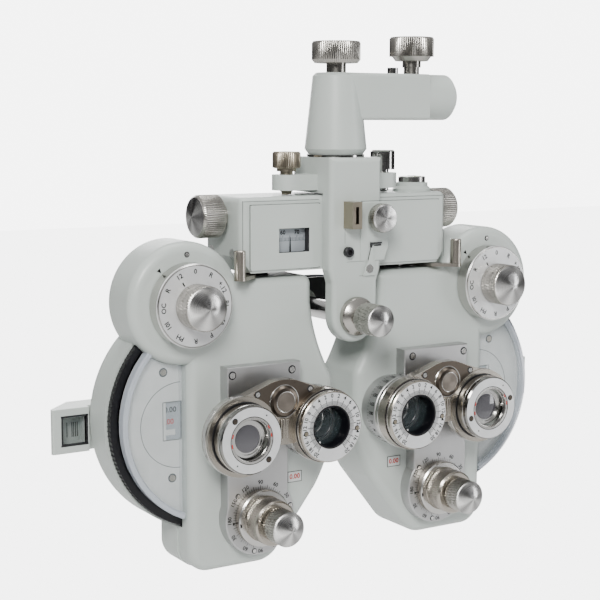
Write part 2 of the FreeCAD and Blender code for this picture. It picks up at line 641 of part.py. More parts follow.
def dials():
    corner = ("dial_x", "0", "dial_z")
    dial = [("2.55", "dial_front"), ("dial_radius - 0.8", "dial_front"), ("dial_radius", "dial_front + 0.8"),
            ("dial_radius", "27.2"), ("dial_radius - 0.5", "27.7"), ("4.6", "27.7"), ("4.6", "44.9"),
            ("dial_gear - gear_gap", "44.9"), ("dial_gear - gear_gap", "46.9"), ("2.55", "46.9")]
    side_node(turned("aux_dial", dial, corner, FRONT), "aux_lens_dial")
    knob = [("0", "strong_tip"), ("strong_radius - 1.8", "2.2"), ("strong_radius - 0.8", "3"),
            ("strong_radius", "17"), ("2.5", "17"), ("2.5", "50.3"), ("dial_gear - gear_gap", "50.3"),
            ("dial_gear - gear_gap", "52.3"),
            ("0", "52.3")]
    side_node(turned("strong_knob", knob, corner, FRONT), "strong_sphere_knob")
    lower = ("knob_x", "0", "knob_z")
    outer = [("3.55", "0"), ("axis_radius - 1.2", "0"), ("axis_radius", "1.5"), ("axis_radius", "12.5"),
             ("axis_base", "13.5"), ("axis_base", "18.7"), ("5.5", "18.7"), ("5.5", "31.3"), ("14", "31.3"),
             ("14", "32.3"), ("3.55", "32.3")]
    side_node(turned("axis_sleeve", outer, lower, FRONT), "axis_knob")
    inner = [("0", "-18.6"), ("cyl_knob_radius - 1", "-15"), ("cyl_knob_radius", "-14"),
             ("cyl_knob_radius", "-1.5"),
             ("cyl_knob_radius - 1", "-0.4"), ("3.5", "-0.4"), ("3.5", "32.6"),
             ("knob_gear - gear_gap", "32.6"),
             ("knob_gear - gear_gap", "34.4"), ("0", "34.4")]
    side_node(turned("cylinder_core", inner, lower, FRONT), "cylinder_knob")


def cylinder_plate():
    body = new_body("cover", "0", "0", "0", FRONT)
    notch, lobe, side = "21", "24", "90.3"
    near = "knob_z + sqrt(%s^2 - (knob_x - 48)^2)" % lobe
    far = "knob_z + sqrt(%s^2 - (%s - knob_x)^2)" % (lobe, side)
    outline = [("39.1", "20"), ("39.1", "eye_z + sqrt(%s^2 - (39.1 - eye_x)^2)" % notch, "-" + notch),
               ("48", "eye_z - sqrt(%s^2 - (48 - eye_x)^2)" % notch), ("48", near, lobe),
               ("knob_x - %s" % lobe, "knob_z", lobe), ("knob_x", "knob_z - %s" % lobe, lobe),
               ("knob_x + %s" % lobe, "knob_z", lobe), (side, far), (side, "20")]
    base = pad(body, "plate_front", "casing_front", FRONT, outline)
    shell = hollow(body, base, "-casing_front")
    rounded(body, shell, "1", at_level("-plate_front"))
    pad(body, "turret_back + 0.2", "casing_front", FRONT, circles=[("turret_x", "0", "6.5")])
    pad(body, "2", "casing_front", FRONT, circles=[("turret_x", "0", "pivot_radius")])
    cover = without(body, cylinder("5.55", "15", "30", ("knob_x", "0", "knob_z"), FRONT))
    side_node(cover, "cylinder_plate")


def sight_ring():
    ring = [("sight_radius", "10"), ("ring_radius - 0.8", "10"), ("ring_radius", "10.8"),
            ("ring_radius", "18.7"),
            ("20.5", "18.7"), ("20.5", "27.7"), ("12.8", "27.7"), ("12.8", "32"), ("sight_radius", "32")]
    side_node(turned("sight_ring", ring, ("eye_x", "0", "eye_z"), FRONT), "aperture_ring")


def turret():
    sight, cross, pivot = ("eye_x", "0", "eye_z"), ("cross_x", "0", "cross_z"), ("turret_x", "0", "0")
    web = new_body("turret_web", "0", "0", "0", FRONT)
    low = "eye_z - 9"
    base = pad(web, "2.5", "turret_back", FRONT,
               [("eye_x", low), ("cross_x", low), ("cross_x + 14", "cross_z + 19"), ("turret_x + 6", "13"),
                ("turret_x - 6", "13"), ("eye_x - 14", "eye_z + 18")])
    rounded(web, base, "4", lambda edge: along_axis(edge) and edge.CenterOfMass.y > 10)
    cap = turned("turret_cap", [("0", "0"), ("6.5", "0"), ("8.3", "0.5"), ("9.5", "2"),
                                ("9.5", "turret_back"),
                                ("0", "turret_back")], pivot, FRONT)
    frame = without(
        fused(web, cap, cylinder("22.8", "-0.9", "turret_back", sight, FRONT),
              cylinder("24", "2", "turret_back", cross, FRONT)),
        cylinder("prism_bore", "-5", "15", sight, FRONT),
        cylinder("cross_bore", "-5", "15", cross, FRONT),
        cylinder("pivot_radius + running_gap", "1.8", "15", pivot, FRONT))
    side_node(frame, "turret_frame")
    prism = [("13.2", "prism_front"), ("prism_radius - 0.7", "prism_front"),
             ("prism_radius", "prism_front + 0.7"),
             ("prism_radius", "-1.2"), ("prism_bore - running_gap", "-1.2"),
             ("prism_bore - running_gap", "turret_back"),
             ("13.2", "turret_back")]
    side_node(turned("prism", prism, sight, FRONT), "prism_dial")
    ring = [("13.8", "cross_front"), ("cross_radius - 0.8", "cross_front"),
            ("cross_radius", "cross_front + 0.8"),
            ("cross_radius", "1.7"), ("cross_bore - running_gap", "1.7"),
            ("cross_bore - running_gap", "turret_back"),
            ("13.8", "turret_back")]
    trunnion = cylinder("1.25", "cross_x - 15.4", "cross_x + 15.4", ("0", "cell_y", "cross_z"), SIDE)
    side_node(without(turned("cross_ring", ring, cross, FRONT), trunnion), "cross_cylinder_ring")
    rim = without(cylinder("cell_radius", "cell_y - 1.5", "cell_y + 1.5", cross, FRONT),
                  cylinder("9.6", "cell_y - 2", "cell_y - 0.5", cross, FRONT),
                  cylinder("9.6", "cell_y + 0.5", "cell_y + 2", cross, FRONT))
    pins = [cylinder("1.2", "cross_x + %s" % low, "cross_x + %s" % high, ("0", "cell_y", "cross_z"), SIDE)
            for low, high in (("(-15.2)", "(-10.5)"), ("10.5", "15.2"))]
    side_node(fused(rim, *pins), "cross_cylinder_lens")


def aligner():
    body = new_body("aligner", "0", "0", "0", UP)
    base = pad(body, "-31", "-4", UP, [("138", "casing_back"), ("158.7", "casing_back"), ("158.7", "66"),
                                       ("182", "66"), ("182", "69"), ("165", "86"), ("138", "86")])
    rounded(body, base, "1.3", lambda edge: along_axis(edge) and edge.CenterOfMass.x > 160)
    window = block(("160.5", "175.5"), ("60", "78"), ("-26", "-9"))
    side_node(without(body, window), "aligner_housing")


def carriage():
    body = block(("hinge_x - 12", "hinge_x + 12"), ("front_rod_y - 6", "rear_rod_y + 4.5"), ("79.5", "115"))
    neck = turned("neck", [("0", "64.7"), ("9", "64.7"), ("9", "67.7"), ("hinge_radius", "67.7"),
                           ("hinge_radius", "80"),
                           ("0", "80")], ("hinge_x", "hinge_y", "0"), UP)
    bores = [cylinder("rod_radius + running_gap", "20", "80", ("0", depth, "rod_z"), SIDE)
             for depth in ("front_rod_y", "rear_rod_y")]
    bores.append(cylinder("spindle_radius + running_gap", "20", "80", ("0", "spindle_y", "spindle_z"), SIDE))
    side_node(without(fused(body, neck), *bores), "carriage")


def convergence_lever():
    arm = new_body("crank", "0", "0", "0", UP)
    pad(arm, "71.4", "73.6", UP, [("crank_x - 4", "crank_y"), ("66.2", "27.6"),
                                  ("post_x - 2.2", "post_y - 3", "3.7"), ("post_x + 3.6", "post_y + 0.9"),
                                  ("73.8", "30.4"), ("crank_x + 4", "crank_y", "4"),
                                  ("crank_x", "crank_y + 4", "4")])
    pin = cylinder("2.5", "64", "72", ("crank_x", "crank_y", "0"), UP)
    post = turned("crank_post", [("0", "72"), ("3.5", "72"), ("3.5", "post_top - 0.6"), ("2.9", "post_top"),
                                 ("0", "post_top")], ("post_x", "post_y", "0"), UP)
    side_node(fused(arm, pin, post), "convergence_lever")


def mirrored():
    for name, right in list(HALF.items()):
        left = doc.addObject("Part::Mirroring", "left_" + name)
        left.Source = right
        left.Normal = VECTOR(1, 0, 0)
        bind(left, Base__x="middle_x")
        node(left, "left_" + name)


for build in (mount_arm, stand_screws, swivel, centre_bracket, level_gear, near_rod_gear, forehead_gear,
              pd_housing, pd_spindle, spirit_level, front_casing, rear_casing, sphere_window, lens_wheels,
              dials, cylinder_plate, sight_ring, turret, aligner, carriage, convergence_lever, mirrored):
    build()
doc.recompute()

failed = [item.Name for item in doc.Objects if "Invalid" in item.State or "Error" in item.State]
failed += [item.Label for item in NODES
           if item.Shape.isNull() or not item.Shape.isValid() or not item.Shape.Solids]
if failed:
    raise ValueError("failed objects: " + ", ".join(failed))
os.makedirs("parts", exist_ok=True)
for item in NODES:
    item.Shape.exportStep("parts/%s.step" % item.Label)
    print("%-28s solids %d volume %.0f" % (item.Label, len(item.Shape.Solids), item.Shape.Volume))
print(len(NODES), "nodes")
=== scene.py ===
import json
import math

import bmesh
import bpy
from mathutils import Matrix, Vector


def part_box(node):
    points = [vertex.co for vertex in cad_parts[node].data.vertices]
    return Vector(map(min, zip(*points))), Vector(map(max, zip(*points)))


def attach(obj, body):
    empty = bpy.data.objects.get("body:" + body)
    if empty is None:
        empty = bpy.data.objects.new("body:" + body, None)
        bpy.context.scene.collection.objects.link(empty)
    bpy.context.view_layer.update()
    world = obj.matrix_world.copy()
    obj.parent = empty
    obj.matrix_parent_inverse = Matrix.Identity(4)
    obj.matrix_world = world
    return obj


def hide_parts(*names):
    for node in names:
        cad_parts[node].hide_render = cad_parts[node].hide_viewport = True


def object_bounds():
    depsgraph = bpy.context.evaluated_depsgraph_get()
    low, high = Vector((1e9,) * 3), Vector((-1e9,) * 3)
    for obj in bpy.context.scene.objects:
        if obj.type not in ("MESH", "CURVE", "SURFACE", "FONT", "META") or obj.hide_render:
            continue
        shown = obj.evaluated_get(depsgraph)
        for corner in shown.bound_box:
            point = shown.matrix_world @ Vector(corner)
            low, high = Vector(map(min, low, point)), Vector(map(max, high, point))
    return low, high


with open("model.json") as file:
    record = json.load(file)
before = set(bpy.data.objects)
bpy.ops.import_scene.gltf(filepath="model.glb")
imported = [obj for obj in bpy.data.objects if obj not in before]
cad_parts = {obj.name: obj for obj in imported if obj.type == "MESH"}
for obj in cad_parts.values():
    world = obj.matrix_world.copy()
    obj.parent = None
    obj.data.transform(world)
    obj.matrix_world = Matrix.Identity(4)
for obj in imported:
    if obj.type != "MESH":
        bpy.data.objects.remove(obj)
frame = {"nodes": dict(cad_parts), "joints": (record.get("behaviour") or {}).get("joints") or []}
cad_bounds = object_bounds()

MM = 0.001
LEFT, RIGHT = -1, 1
SIDES = (LEFT, RIGHT)
JOINTS = {joint["name"]: joint for joint in frame["joints"]}


def joint_place(name):
    return Vector(JOINTS[name]["pos_m"])


PIVOTS = [joint_place("turret_swing_left"), joint_place("turret_swing_right")]
DATUM = (PIVOTS[0] + PIVOTS[1]) / 2
DATUM.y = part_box("right_axis_knob")[0].y

# ways a face can look: its own x runs to its right, y up it and z out of it
FRONT = Matrix(((1, 0, 0), (0, 0, -1), (0, 1, 0)))
BACK = Matrix(((-1, 0, 0), (0, 0, 1), (0, 1, 0)))
EAST = Matrix(((0, 0, 1), (1, 0, 0), (0, 1, 0)))
WEST = Matrix(((0, 0, -1), (-1, 0, 0), (0, 1, 0)))
UP = Matrix.Identity(3)


def place(x, y, z):
    return DATUM + Vector((x, y, z)) * MM


def where(name, side=0):
    """A joint's place as (x, z) from the middle plane and the turret pivots."""
    suffix = {LEFT: "_left", RIGHT: "_right", 0: ""}[side]
    offset = (joint_place(name + suffix) - DATUM) / MM
    return offset.x, offset.z


def sided(side, name):
    return ("left_" if side == LEFT else "right_") + name


def ridden(side, name):
    return name + ("_left" if side == LEFT else "_right")


# ---------------------------------------------------------------- materials

class Finish:
    """A node material on object coordinates, in metres."""

    def __init__(self, name, colour, roughness, metallic=0.0, **constants):
        self.material = bpy.data.materials.new(name)
        self.material.use_nodes = True
        self.tree = self.material.node_tree
        self.shader = self.tree.nodes["Principled BSDF"]
        self.colour = colour
        self.shader.inputs["Base Color"].default_value = (*colour, 1)
        self.shader.inputs["Roughness"].default_value = roughness
        self.shader.inputs["Metallic"].default_value = metallic
        for socket, value in constants.items():
            self.shader.inputs[socket.replace("_", " ")].default_value = value
        self.place = self.node("ShaderNodeTexCoord").outputs["Object"]

    def node(self, kind, **inputs):
        made = self.tree.nodes.new(kind)
        for name, value in inputs.items():
            socket = made.inputs[name.replace("_", " ")]
            if isinstance(value, bpy.types.NodeSocket):
                self.tree.links.new(value, socket)
            else:
                socket.default_value = value
        return made

    def noise(self, size, stretch=(1, 1, 1), detail=3.0):
        """Noise with spots of about that many millimetres."""
        scaled = self.node("ShaderNodeMapping", Vector=self.place, Scale=stretch)
        return self.node("ShaderNodeTexNoise", Vector=scaled.outputs[0], Scale=1 / (size * MM),
                         Detail=detail).outputs[0]

    def rings(self, pitch):
        """Noise that changes only with the distance from the object's own z axis."""
        flat = self.node("ShaderNodeVectorMath", Vector=self.place)
        flat.operation = "MULTIPLY"
        flat.inputs[1].default_value = (1, 1, 0)
        length = self.node("ShaderNodeVectorMath", Vector=flat.outputs[0])
        length.operation = "LENGTH"
        made = self.node("ShaderNodeTexNoise", Scale=1 / (pitch * MM), Detail=2.0)
        made.noise_dimensions = "1D"
        self.tree.links.new(length.outputs["Value"], made.inputs["W"])
        return made.outputs[0]

    def sectors(self):
        """Painted sheen: lighter and darker sectors of base colour in turn round the object's own z axis, standing
        in for the radial highlights of spun metal.
        """
        turn = self.node("ShaderNodeTexGradient", Vector=self.place)
        turn.gradient_type = "RADIAL"
        total = None
        for count, phase in ((2, 0.4), (3, 1.9), (5, 0.8)):
            angle = self.node("ShaderNodeMath")
            angle.operation = "MULTIPLY_ADD"
            self.tree.links.new(turn.outputs[1], angle.inputs[0])
            angle.inputs[1].default_value = 2 * math.pi * count
            angle.inputs[2].default_value = phase
            wave = self.node("ShaderNodeMath")
            wave.operation = "SINE"
            self.tree.links.new(angle.outputs[0], wave.inputs[0])
            if total:
                added = self.node("ShaderNodeMath")
                self.tree.links.new(total, added.inputs[0])
                self.tree.links.new(wave.outputs[0], added.inputs[1])
                total = added.outputs[0]
            else:
                total = wave.outputs[0]
        return self.node("ShaderNodeMapRange", Value=total, From_Min=-1.5, From_Max=1.5).outputs[0]

    def spread(self, factor, amount):
        """Colour from darker to lighter by that share."""
        mix = self.node("ShaderNodeMix")
        mix.data_type = "RGBA"
        self.tree.links.new(factor, mix.inputs[0])
        mix.inputs[6].default_value = (*[c * (1 - amount) for c in self.colour], 1)
        mix.inputs[7].default_value = (*[min(c * (1 + amount), 1) for c in self.colour], 1)
        self.tree.links.new(mix.outputs[2], self.shader.inputs["Base Color"])
        return self

    def gloss(self, factor, low, high):
        """Roughness between two values."""
        scaled = self.node("ShaderNodeMapRange", Value=factor, To_Min=low, To_Max=high)
        self.tree.links.new(scaled.outputs[0], self.shader.inputs["Roughness"])
        return self

    def bump(self, factor, depth, strength=1.0):
        """Relief of that many millimetres."""
        made = self.node("ShaderNodeBump", Height=factor, Strength=strength, Distance=depth * MM)
        self.tree.links.new(made.outputs[0], self.shader.inputs["Normal"])
        return self

    def spun(self, strength):
        """Highlights that run across the turning marks."""
        self.shader.inputs["Anisotropic"].default_value = strength
        tangent = self.node("ShaderNodeTangent")
        tangent.direction_type = "RADIAL"
        tangent.axis = "Z"
        self.tree.links.new(tangent.outputs[0], self.shader.inputs["Tangent"])
        return self


def enamel(name, colour, roughness):
    made = Finish(name, colour, roughness, Coat_Weight=0.12, Coat_Roughness=0.25)
    made.spread(made.noise(45), 0.05).gloss(made.noise(6), roughness - 0.05, roughness + 0.07)
    return made.bump(made.noise(1.1, detail=2.0), 0.05, 0.25).material


def satin(name, colour, low, high, grain=(1, 1, 1), relief=0.003):
    made = Finish(name, colour, low, 1.0)
    made.spread(made.noise(14, grain), 0.07).gloss(made.noise(3, grain), low, high)
    return made.bump(made.noise(0.5, grain), relief, 0.3).material


def turned_metal(name, colour, low, high, streaks=0.6, painted_sheen=0.0):
    made = Finish(name, colour, low, 1.0)
    # painted sheen: with painted_sheen set, the base colour turns lighter and darker in sectors round the axis as
    # painted highlights
    made.spread(made.sectors() if painted_sheen else made.rings(0.9), painted_sheen or 0.1)
    made.gloss(made.rings(0.35), low, high).spun(streaks)
    return made.bump(made.rings(0.25), 0.002, 0.4).material


def moulded(name, colour, roughness, grain=0.6, relief=0.04, **constants):
    made = Finish(name, colour, roughness, **constants)
    made.spread(made.noise(8), 0.15).gloss(made.noise(2), roughness - 0.06, roughness + 0.08)
    return made.bump(made.noise(grain), relief, 0.4).material


def clear(name, colour, alpha, roughness=0.04):
    made = Finish(name, colour, roughness, Alpha=alpha, IOR=1.49, Coat_Weight=1.0, Coat_Roughness=0.02)
    made.spread(made.noise(20), 0.06).gloss(made.noise(9), roughness, roughness + 0.04)
    return made.bump(made.noise(12, detail=1.0), 0.02, 0.1).material


PAINT = enamel("enamel_grey_green", (0.45, 0.49, 0.465), 0.38)
PLATE = satin("satin_silver_plate", (0.46, 0.46, 0.46), 0.36, 0.46, (1, 1, 0.12))
NICKEL = satin("satin_nickel", (0.40, 0.37, 0.325), 0.2, 0.3, (1, 1, 4))
CHROME = turned_metal("turned_steel", (0.52, 0.51, 0.49), 0.14, 0.24)
# spun knob faces: turned metal with painted highlight sectors in the base colour
SPUN_PAINTED_SHEEN = turned_metal("spun_face_painted_sheen", (0.50, 0.495, 0.485), 0.22, 0.32, 0.9, 0.55)
CAP = turned_metal("brown_cap", (0.20, 0.175, 0.15), 0.26, 0.38, 0.5)
BRIGHT = satin("bright_steel", (0.60, 0.595, 0.58), 0.1, 0.18)
KNURL = satin("knurled_steel", (0.40, 0.385, 0.355), 0.2, 0.3)
BRASSY = satin("brassy_steel", (0.34, 0.30, 0.235), 0.25, 0.36)
GUNMETAL = satin("brown_gunmetal", (0.105, 0.088, 0.072), 0.24, 0.36)
POLISHED = satin("dark_polished_steel", (0.24, 0.235, 0.225), 0.08, 0.14)
DARK = moulded("black_anodised", (0.010, 0.010, 0.012), 0.4, 0.4, 0.02, Specular_IOR_Level=0.4)
BLACK = moulded("black_plastic", (0.0025, 0.0025, 0.004), 0.32, Specular_IOR_Level=0.35)
RUBBER = moulded("soft_rubber", (0.018, 0.018, 0.02), 0.62, 0.35, 0.08)
DIAL = moulded("dial_white", (0.62, 0.625, 0.63), 0.36, 0.4, 0.004, Metallic=0.35)
CARD = moulded("scale_card", (0.55, 0.565, 0.555), 0.5, 0.5, 0.01)
READOUT = moulded("readout_card", (0.30, 0.33, 0.355), 0.45, 0.5, 0.01)
INK = moulded("black_ink", (0.003, 0.003, 0.003), 0.5, 0.3, 0.004, Specular_IOR_Level=0.2)
RED = moulded("red_ink", (0.42, 0.02, 0.015), 0.5, 0.3, 0.004, Specular_IOR_Level=0.2)
# painted shadow: dark grey strips laid along seams and edges where shade falls
PAINTED_SEAM_SHADOW = moulded("seam_shadow", (0.085, 0.095, 0.09), 0.6, 0.3, 0.004, Specular_IOR_Level=0.2)
ACRYLIC = clear("clear_acrylic", (0.60, 0.68, 0.72), 0.10)
EDGE = clear("acrylic_edge", (0.50, 0.54, 0.60), 0.7, 0.06)
LENS = clear("clear_glass", (0.08, 0.11, 0.12), 0.14, 0.02)
COATED = clear("coated_glass", (0.06, 0.058, 0.068), 0.85, 0.05)
LIQUID = clear("vial_liquid", (0.55, 0.68, 0.22), 0.8, 0.03)


# ---------------------------------------------------------------- drawing

LETTERS = {}


def lettering(words):
    """A mesh of the words with capitals 1 high, centred on their middle."""
    if words not in LETTERS:
        curve = bpy.data.curves.new("words", "FONT")
        curve.body = words
        curve.size = 1 / 0.7
        curve.align_x, curve.align_y = "CENTER", "CENTER"
        curve.resolution_u = 2
        curve.extrude = 0.5
        curve.offset = 0.03
        holder = bpy.data.objects.new("words", curve)
        LETTERS[words] = bpy.data.meshes.new_from_object(holder)
        bpy.data.objects.remove(holder)
    return LETTERS[words]


class Piece:
    """One mesh drawn in millimetres on a face at a place."""

    def __init__(self, x, y, z, facing=FRONT):
        self.frame = Matrix.Translation(place(x, y, z)) @ facing.to_4x4()
        self.mesh = bmesh.new()

    def _rings(self, rings, closed):
        """Faces between rings of vertices. A ring of one vertex is a pole."""
        pairs = list(zip(rings, rings[1:]))
        if closed:
            pairs.append((rings[-1], rings[0]))
        for low, high in pairs:
            count = max(len(low), len(high))
            if count == 1:
                continue
            for i in range(count):
                j = (i + 1) % count
                corners = [low[i % len(low)], low[j % len(low)], high[j % len(high)], high[i % len(high)]]
                self.mesh.faces.new(list(dict.fromkeys(corners)))

    def turned(self, profile, x=0.0, y=0.0, segments=96, ripple=None, closed=False):
        """A solid of revolution from (radius, height) corners, with ripple's dents in a third value's depth."""
        rings = []
        for radius, height, *dent in profile:
            if radius == 0:
                rings.append([self.mesh.verts.new((x, y, height))])
                continue
            ring = []
            for i in range(segments):
                angle = 2 * math.pi * i / segments
                reach = radius - (dent[0] * ripple(angle, height) if dent else 0)
                ring.append(self.mesh.verts.new((x + reach * math.cos(angle), y + reach * math.sin(angle), height)))
            rings.append(ring)
        self._rings(rings, closed)
        return self

    def prism(self, outline, low, high):
        rings = [[self.mesh.verts.new((px, py, level)) for px, py in outline] for level in (low, high)]
        self._rings(rings, False)
        self.mesh.faces.new(rings[0])
        self.mesh.faces.new(rings[1])
        return self

    def bar(self, x, y, width, height, low, high, angle=0.0):
        c, s = math.cos(angle), math.sin(angle)
        corners = [(width / 2 * i, height / 2 * j) for i, j in ((-1, -1), (1, -1), (1, 1), (-1, 1))]
        return self.prism([(x + c * a - s * b, y + s * a + c * b) for a, b in corners], low, high)

    def words(self, text, x, y, height, level, angle=0.0, thick=0.06):
        turn = Matrix.Translation((x, y, level)) @ Matrix.Rotation(angle, 4, "Z")
        copy = lettering(text).copy()
        copy.transform(turn @ Matrix.Diagonal((height, height, thick, 1)))
        self.mesh.from_mesh(copy)
        bpy.data.meshes.remove(copy)
        return self

    def screw(self, x, y, radius, low, high, slots=1, angle=0.6):
        """A screw head with one slot or a cross cut down into it."""
        gap = radius * 0.16
        self.turned([(0, low), (radius, low), (radius, (low + high) / 2), (0, (low + high) / 2)], x, y, 32)
        first = math.asin(gap / radius)
        share = math.pi / slots
        for part in range(2 * slots):
            turn = angle + part * share
            steps = [first + (share - 2 * first) * i / 12 for i in range(13)]
            outline = [(radius * math.cos(turn + a), radius * math.sin(turn + a)) for a in steps]
            if slots == 2:
                outline.append((gap * math.sqrt(2) * math.cos(turn + share / 2),
                                gap * math.sqrt(2) * math.sin(turn + share / 2)))
            self.prism([(x + a, y + b) for a, b in outline], (low + high) / 2, high)
        return self

    def ticks(self, angles, inner, outer, width, level, x=0.0, y=0.0):
        middle, length = (inner + outer) / 2, outer - inner
        for angle in angles:
            self.bar(x + middle * math.cos(angle), y + middle * math.sin(angle), length, width,
                     level - 0.03, level + 0.05, angle)
        return self

    def figures(self, labels, radius, height, level, x=0.0, y=0.0, outward=True):
        """Words round a circle, from {angle: text}, with their tops outwards."""
        for angle, text in labels.items():
            turn = angle - math.pi / 2 if outward else angle + math.pi / 2
            self.words(text, x + radius * math.cos(angle), y + radius * math.sin(angle), height, level + 0.02, turn)
        return self

    def done(self, name, body, slot, material, stands_for=(), bevel=0.0, sharp=35):
        """Finish the mesh as a piece that rides on a body."""
        bmesh.ops.recalc_face_normals(self.mesh, faces=self.mesh.faces)
        bmesh.ops.scale(self.mesh, vec=(MM, MM, MM), verts=self.mesh.verts)
        data = bpy.data.meshes.new(name)
        self.mesh.to_mesh(data)
        self.mesh.free()
        data.shade_smooth()
        data.set_sharp_from_angle(angle=math.radians(sharp))
        data.materials.append(material)
        made = bpy.data.objects.new(name, data)
        bpy.context.scene.collection.objects.link(made)
        made.matrix_world = self.frame
        if bevel:
            edge = made.modifiers.new("edges", "BEVEL")
            edge.width = bevel * MM
            edge.segments = 2
            edge.limit_method = "ANGLE"
        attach(made, body)
        if stands_for:
            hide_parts(*stands_for)
        return made


def flutes(count):
    """Rounded grooves along a knob."""
    return lambda angle, height: 0.5 - 0.5 * math.cos(count * angle)


def diamonds(count, lead):
    """Crossing grooves that climb a knob by one pitch in so many millimetres."""
    def dent(angle, height):
        climb = 2 * math.pi * height / lead
        return max(0.5 - 0.5 * math.cos(count * angle + climb), 0.5 - 0.5 * math.cos(count * angle - climb)) ** 2
    return dent


def band(radius, low, high, dent, rows=1):
    """A knob's gripped stretch, between two heights."""
    return [(radius, low + (high - low) * i / rows, dent) for i in range(rows + 1)]


def lens(radius, thick, middle, bulge):
    """A disc of glass with domed faces, as a profile from pole to pole."""
    steps = [i / 6 for i in range(7)]
    front = [(radius * s, middle + thick / 2 + bulge * (1 - s * s)) for s in steps]
    return front + [(r, 2 * middle - h) for r, h in reversed(front)]


def degrees(*values):
    return [math.radians(value) for value in values]


def polar(angles, radius, x=0.0, y=0.0):
    return [(x + radius * math.cos(angle), y + radius * math.sin(angle)) for angle in angles]


def recessed_screws(name, body, origin, spots, radius, slots=2, slot="steel", finish=BRIGHT, facing=FRONT):
    """Screw heads on a face, each in a dark ring of painted shade for its recess."""
    heads, painted_well_shade = Piece(*origin, facing), Piece(*origin, facing)
    for number, (x, y) in enumerate(spots):
        heads.screw(x, y, radius, -0.1, 0.5, slots=slots, angle=0.5 + number)
        painted_well_shade.turned([(0, -0.2), (radius * 1.45, -0.2), (radius * 1.45, 0.06), (0, 0.06)], x, y, 40)
    heads.done(name, body, slot, finish)
    painted_well_shade.done(name + "_wells", body, "dark_metal", DARK)


# ---------------------------------------------------------------- finishes of the carried-over nodes

def finish_nodes():
    plain = {
        "mount_arm": PAINT, "centre_bracket": PAINT, "pd_housing": PAINT, "pd_front_plates": PAINT,
        "pd_floor": DARK, "mount_set_screw": BRIGHT, "swivel_post": BRIGHT, "level_plunger": BRIGHT,
        "rod_socket": BRASSY, "guide_rods": BRIGHT, "spirit_level": PAINT,
    }
    paired = {
        "front_casing": PAINT, "rear_casing": PAINT, "sphere_shield": ACRYLIC, "sphere_scale_plate": CARD,
        "weak_sphere_wheel": BLACK, "strong_sphere_disc": DARK, "aux_lens_dial": DIAL, "aux_lens_disc": DARK,
        "cylinder_plate": PLATE, "aperture_ring": PLATE, "cylinder_lens_disc": DARK, "turret_frame": NICKEL,
        "prism_dial": NICKEL, "cross_cylinder_ring": POLISHED, "cross_cylinder_lens": BRIGHT,
        "aligner_housing": PAINT, "carriage": DARK, "convergence_lever": NICKEL,
    }
    for side in SIDES:
        plain.update({sided(side, name): finish for name, finish in paired.items()})
    for name, finish in plain.items():
        data = frame["nodes"][name].data
        data.materials.clear()
        data.materials.append(finish)


# ---------------------------------------------------------------- gripped knobs

def stand_knobs():
    x = 58
    Piece(x, 41.5, 0, UP).turned(
        [(0, 189), (3.95, 189), (3.95, 195.3), (5, 195.3), (5, 199.5), (6, 199.5), (6, 203.5), (10.5, 203.5),
         (12.5, 206.2)] + band(14.3, 206.4, 217.4, 0.55) + [(13.4, 218.6), (11.8, 218.6), (11.4, 218.2), (0, 218.2)],
        segments=64 * 6, ripple=flutes(64)).done(
        "stand_clamp_knob_fluted", "stand_clamp", "steel", KNURL, ["stand_clamp_knob"])
    Piece(0, 41.5, 0, UP).turned(
        [(0, 168), (3.95, 168), (3.95, 186.3), (6.2, 186.3), (6.2, 201), (13.5, 201)]
        + band(15.2, 203, 213.1, 0.55) + [(14.4, 214.3), (12.8, 214.3), (12.4, 213.9), (0, 213.9)],
        segments=68 * 6, ripple=flutes(68)).done(
        "swivel_clamp_knob_fluted", "swivel_clamp", "steel", KNURL, ["swivel_clamp_knob"])
    Piece(-36, 41.5, 0, UP).turned(
        [(0, 120.3), (3, 120.3), (3, 121.5), (4, 122.5), (4, 134.6), (6, 134.6), (6, 136.4), (7.7, 136.4)]
        + band(8.7, 137, 145.6, 0.4) + [(7.9, 146.6), (3, 146.8), (2.6, 146.3), (0, 146.3)],
        segments=44 * 6, ripple=flutes(44)).done("level_screw_fluted", "level_screw", "nickel", BRASSY,
        ["level_screw"])
    for name, body, x, radius, low, high, slot in (
            ("stand_clamp_top", "stand_clamp", 58, 11.2, 218.2, 218.7, "steel"),
            ("swivel_clamp_top", "swivel_clamp", 0, 12.2, 213.9, 214.4, "steel")):
        Piece(x, 41.5, 0, UP).turned([(0, low), (radius, low), (radius, high - 0.1), (radius - 0.3, high),
                                      (0, high + 0.05)]).done(name, body, slot, SPUN_PAINTED_SHEEN)


def face_knob(name, node, body, x, z, shank, grip, dent, rows, cone, slot, count, climb=None, finish=KNURL):
    """A knob that faces the examiner: a shank, a gripped band and a spun cone, in depths."""
    profile = [(r, -depth) for r, depth in shank]
    radius, back, front = grip
    ripple = diamonds(count, climb) if climb else flutes(count)
    profile += band(radius, -back, -front, dent, rows)
    rim = cone[0]
    Piece(x, 0, z).turned(profile + [(rim[0], -rim[1]), (0, -rim[1])], segments=count * 6, ripple=ripple).done(
        name, body, slot, finish, [node])
    Piece(x, 0, z).turned([(0, -rim[1] + 0.02), (rim[0] + 0.05, -rim[1] + 0.02)]
                          + [(r, -depth) for r, depth in cone[1:]], segments=128).done(
            name + "_face", body, slot, SPUN_PAINTED_SHEEN)


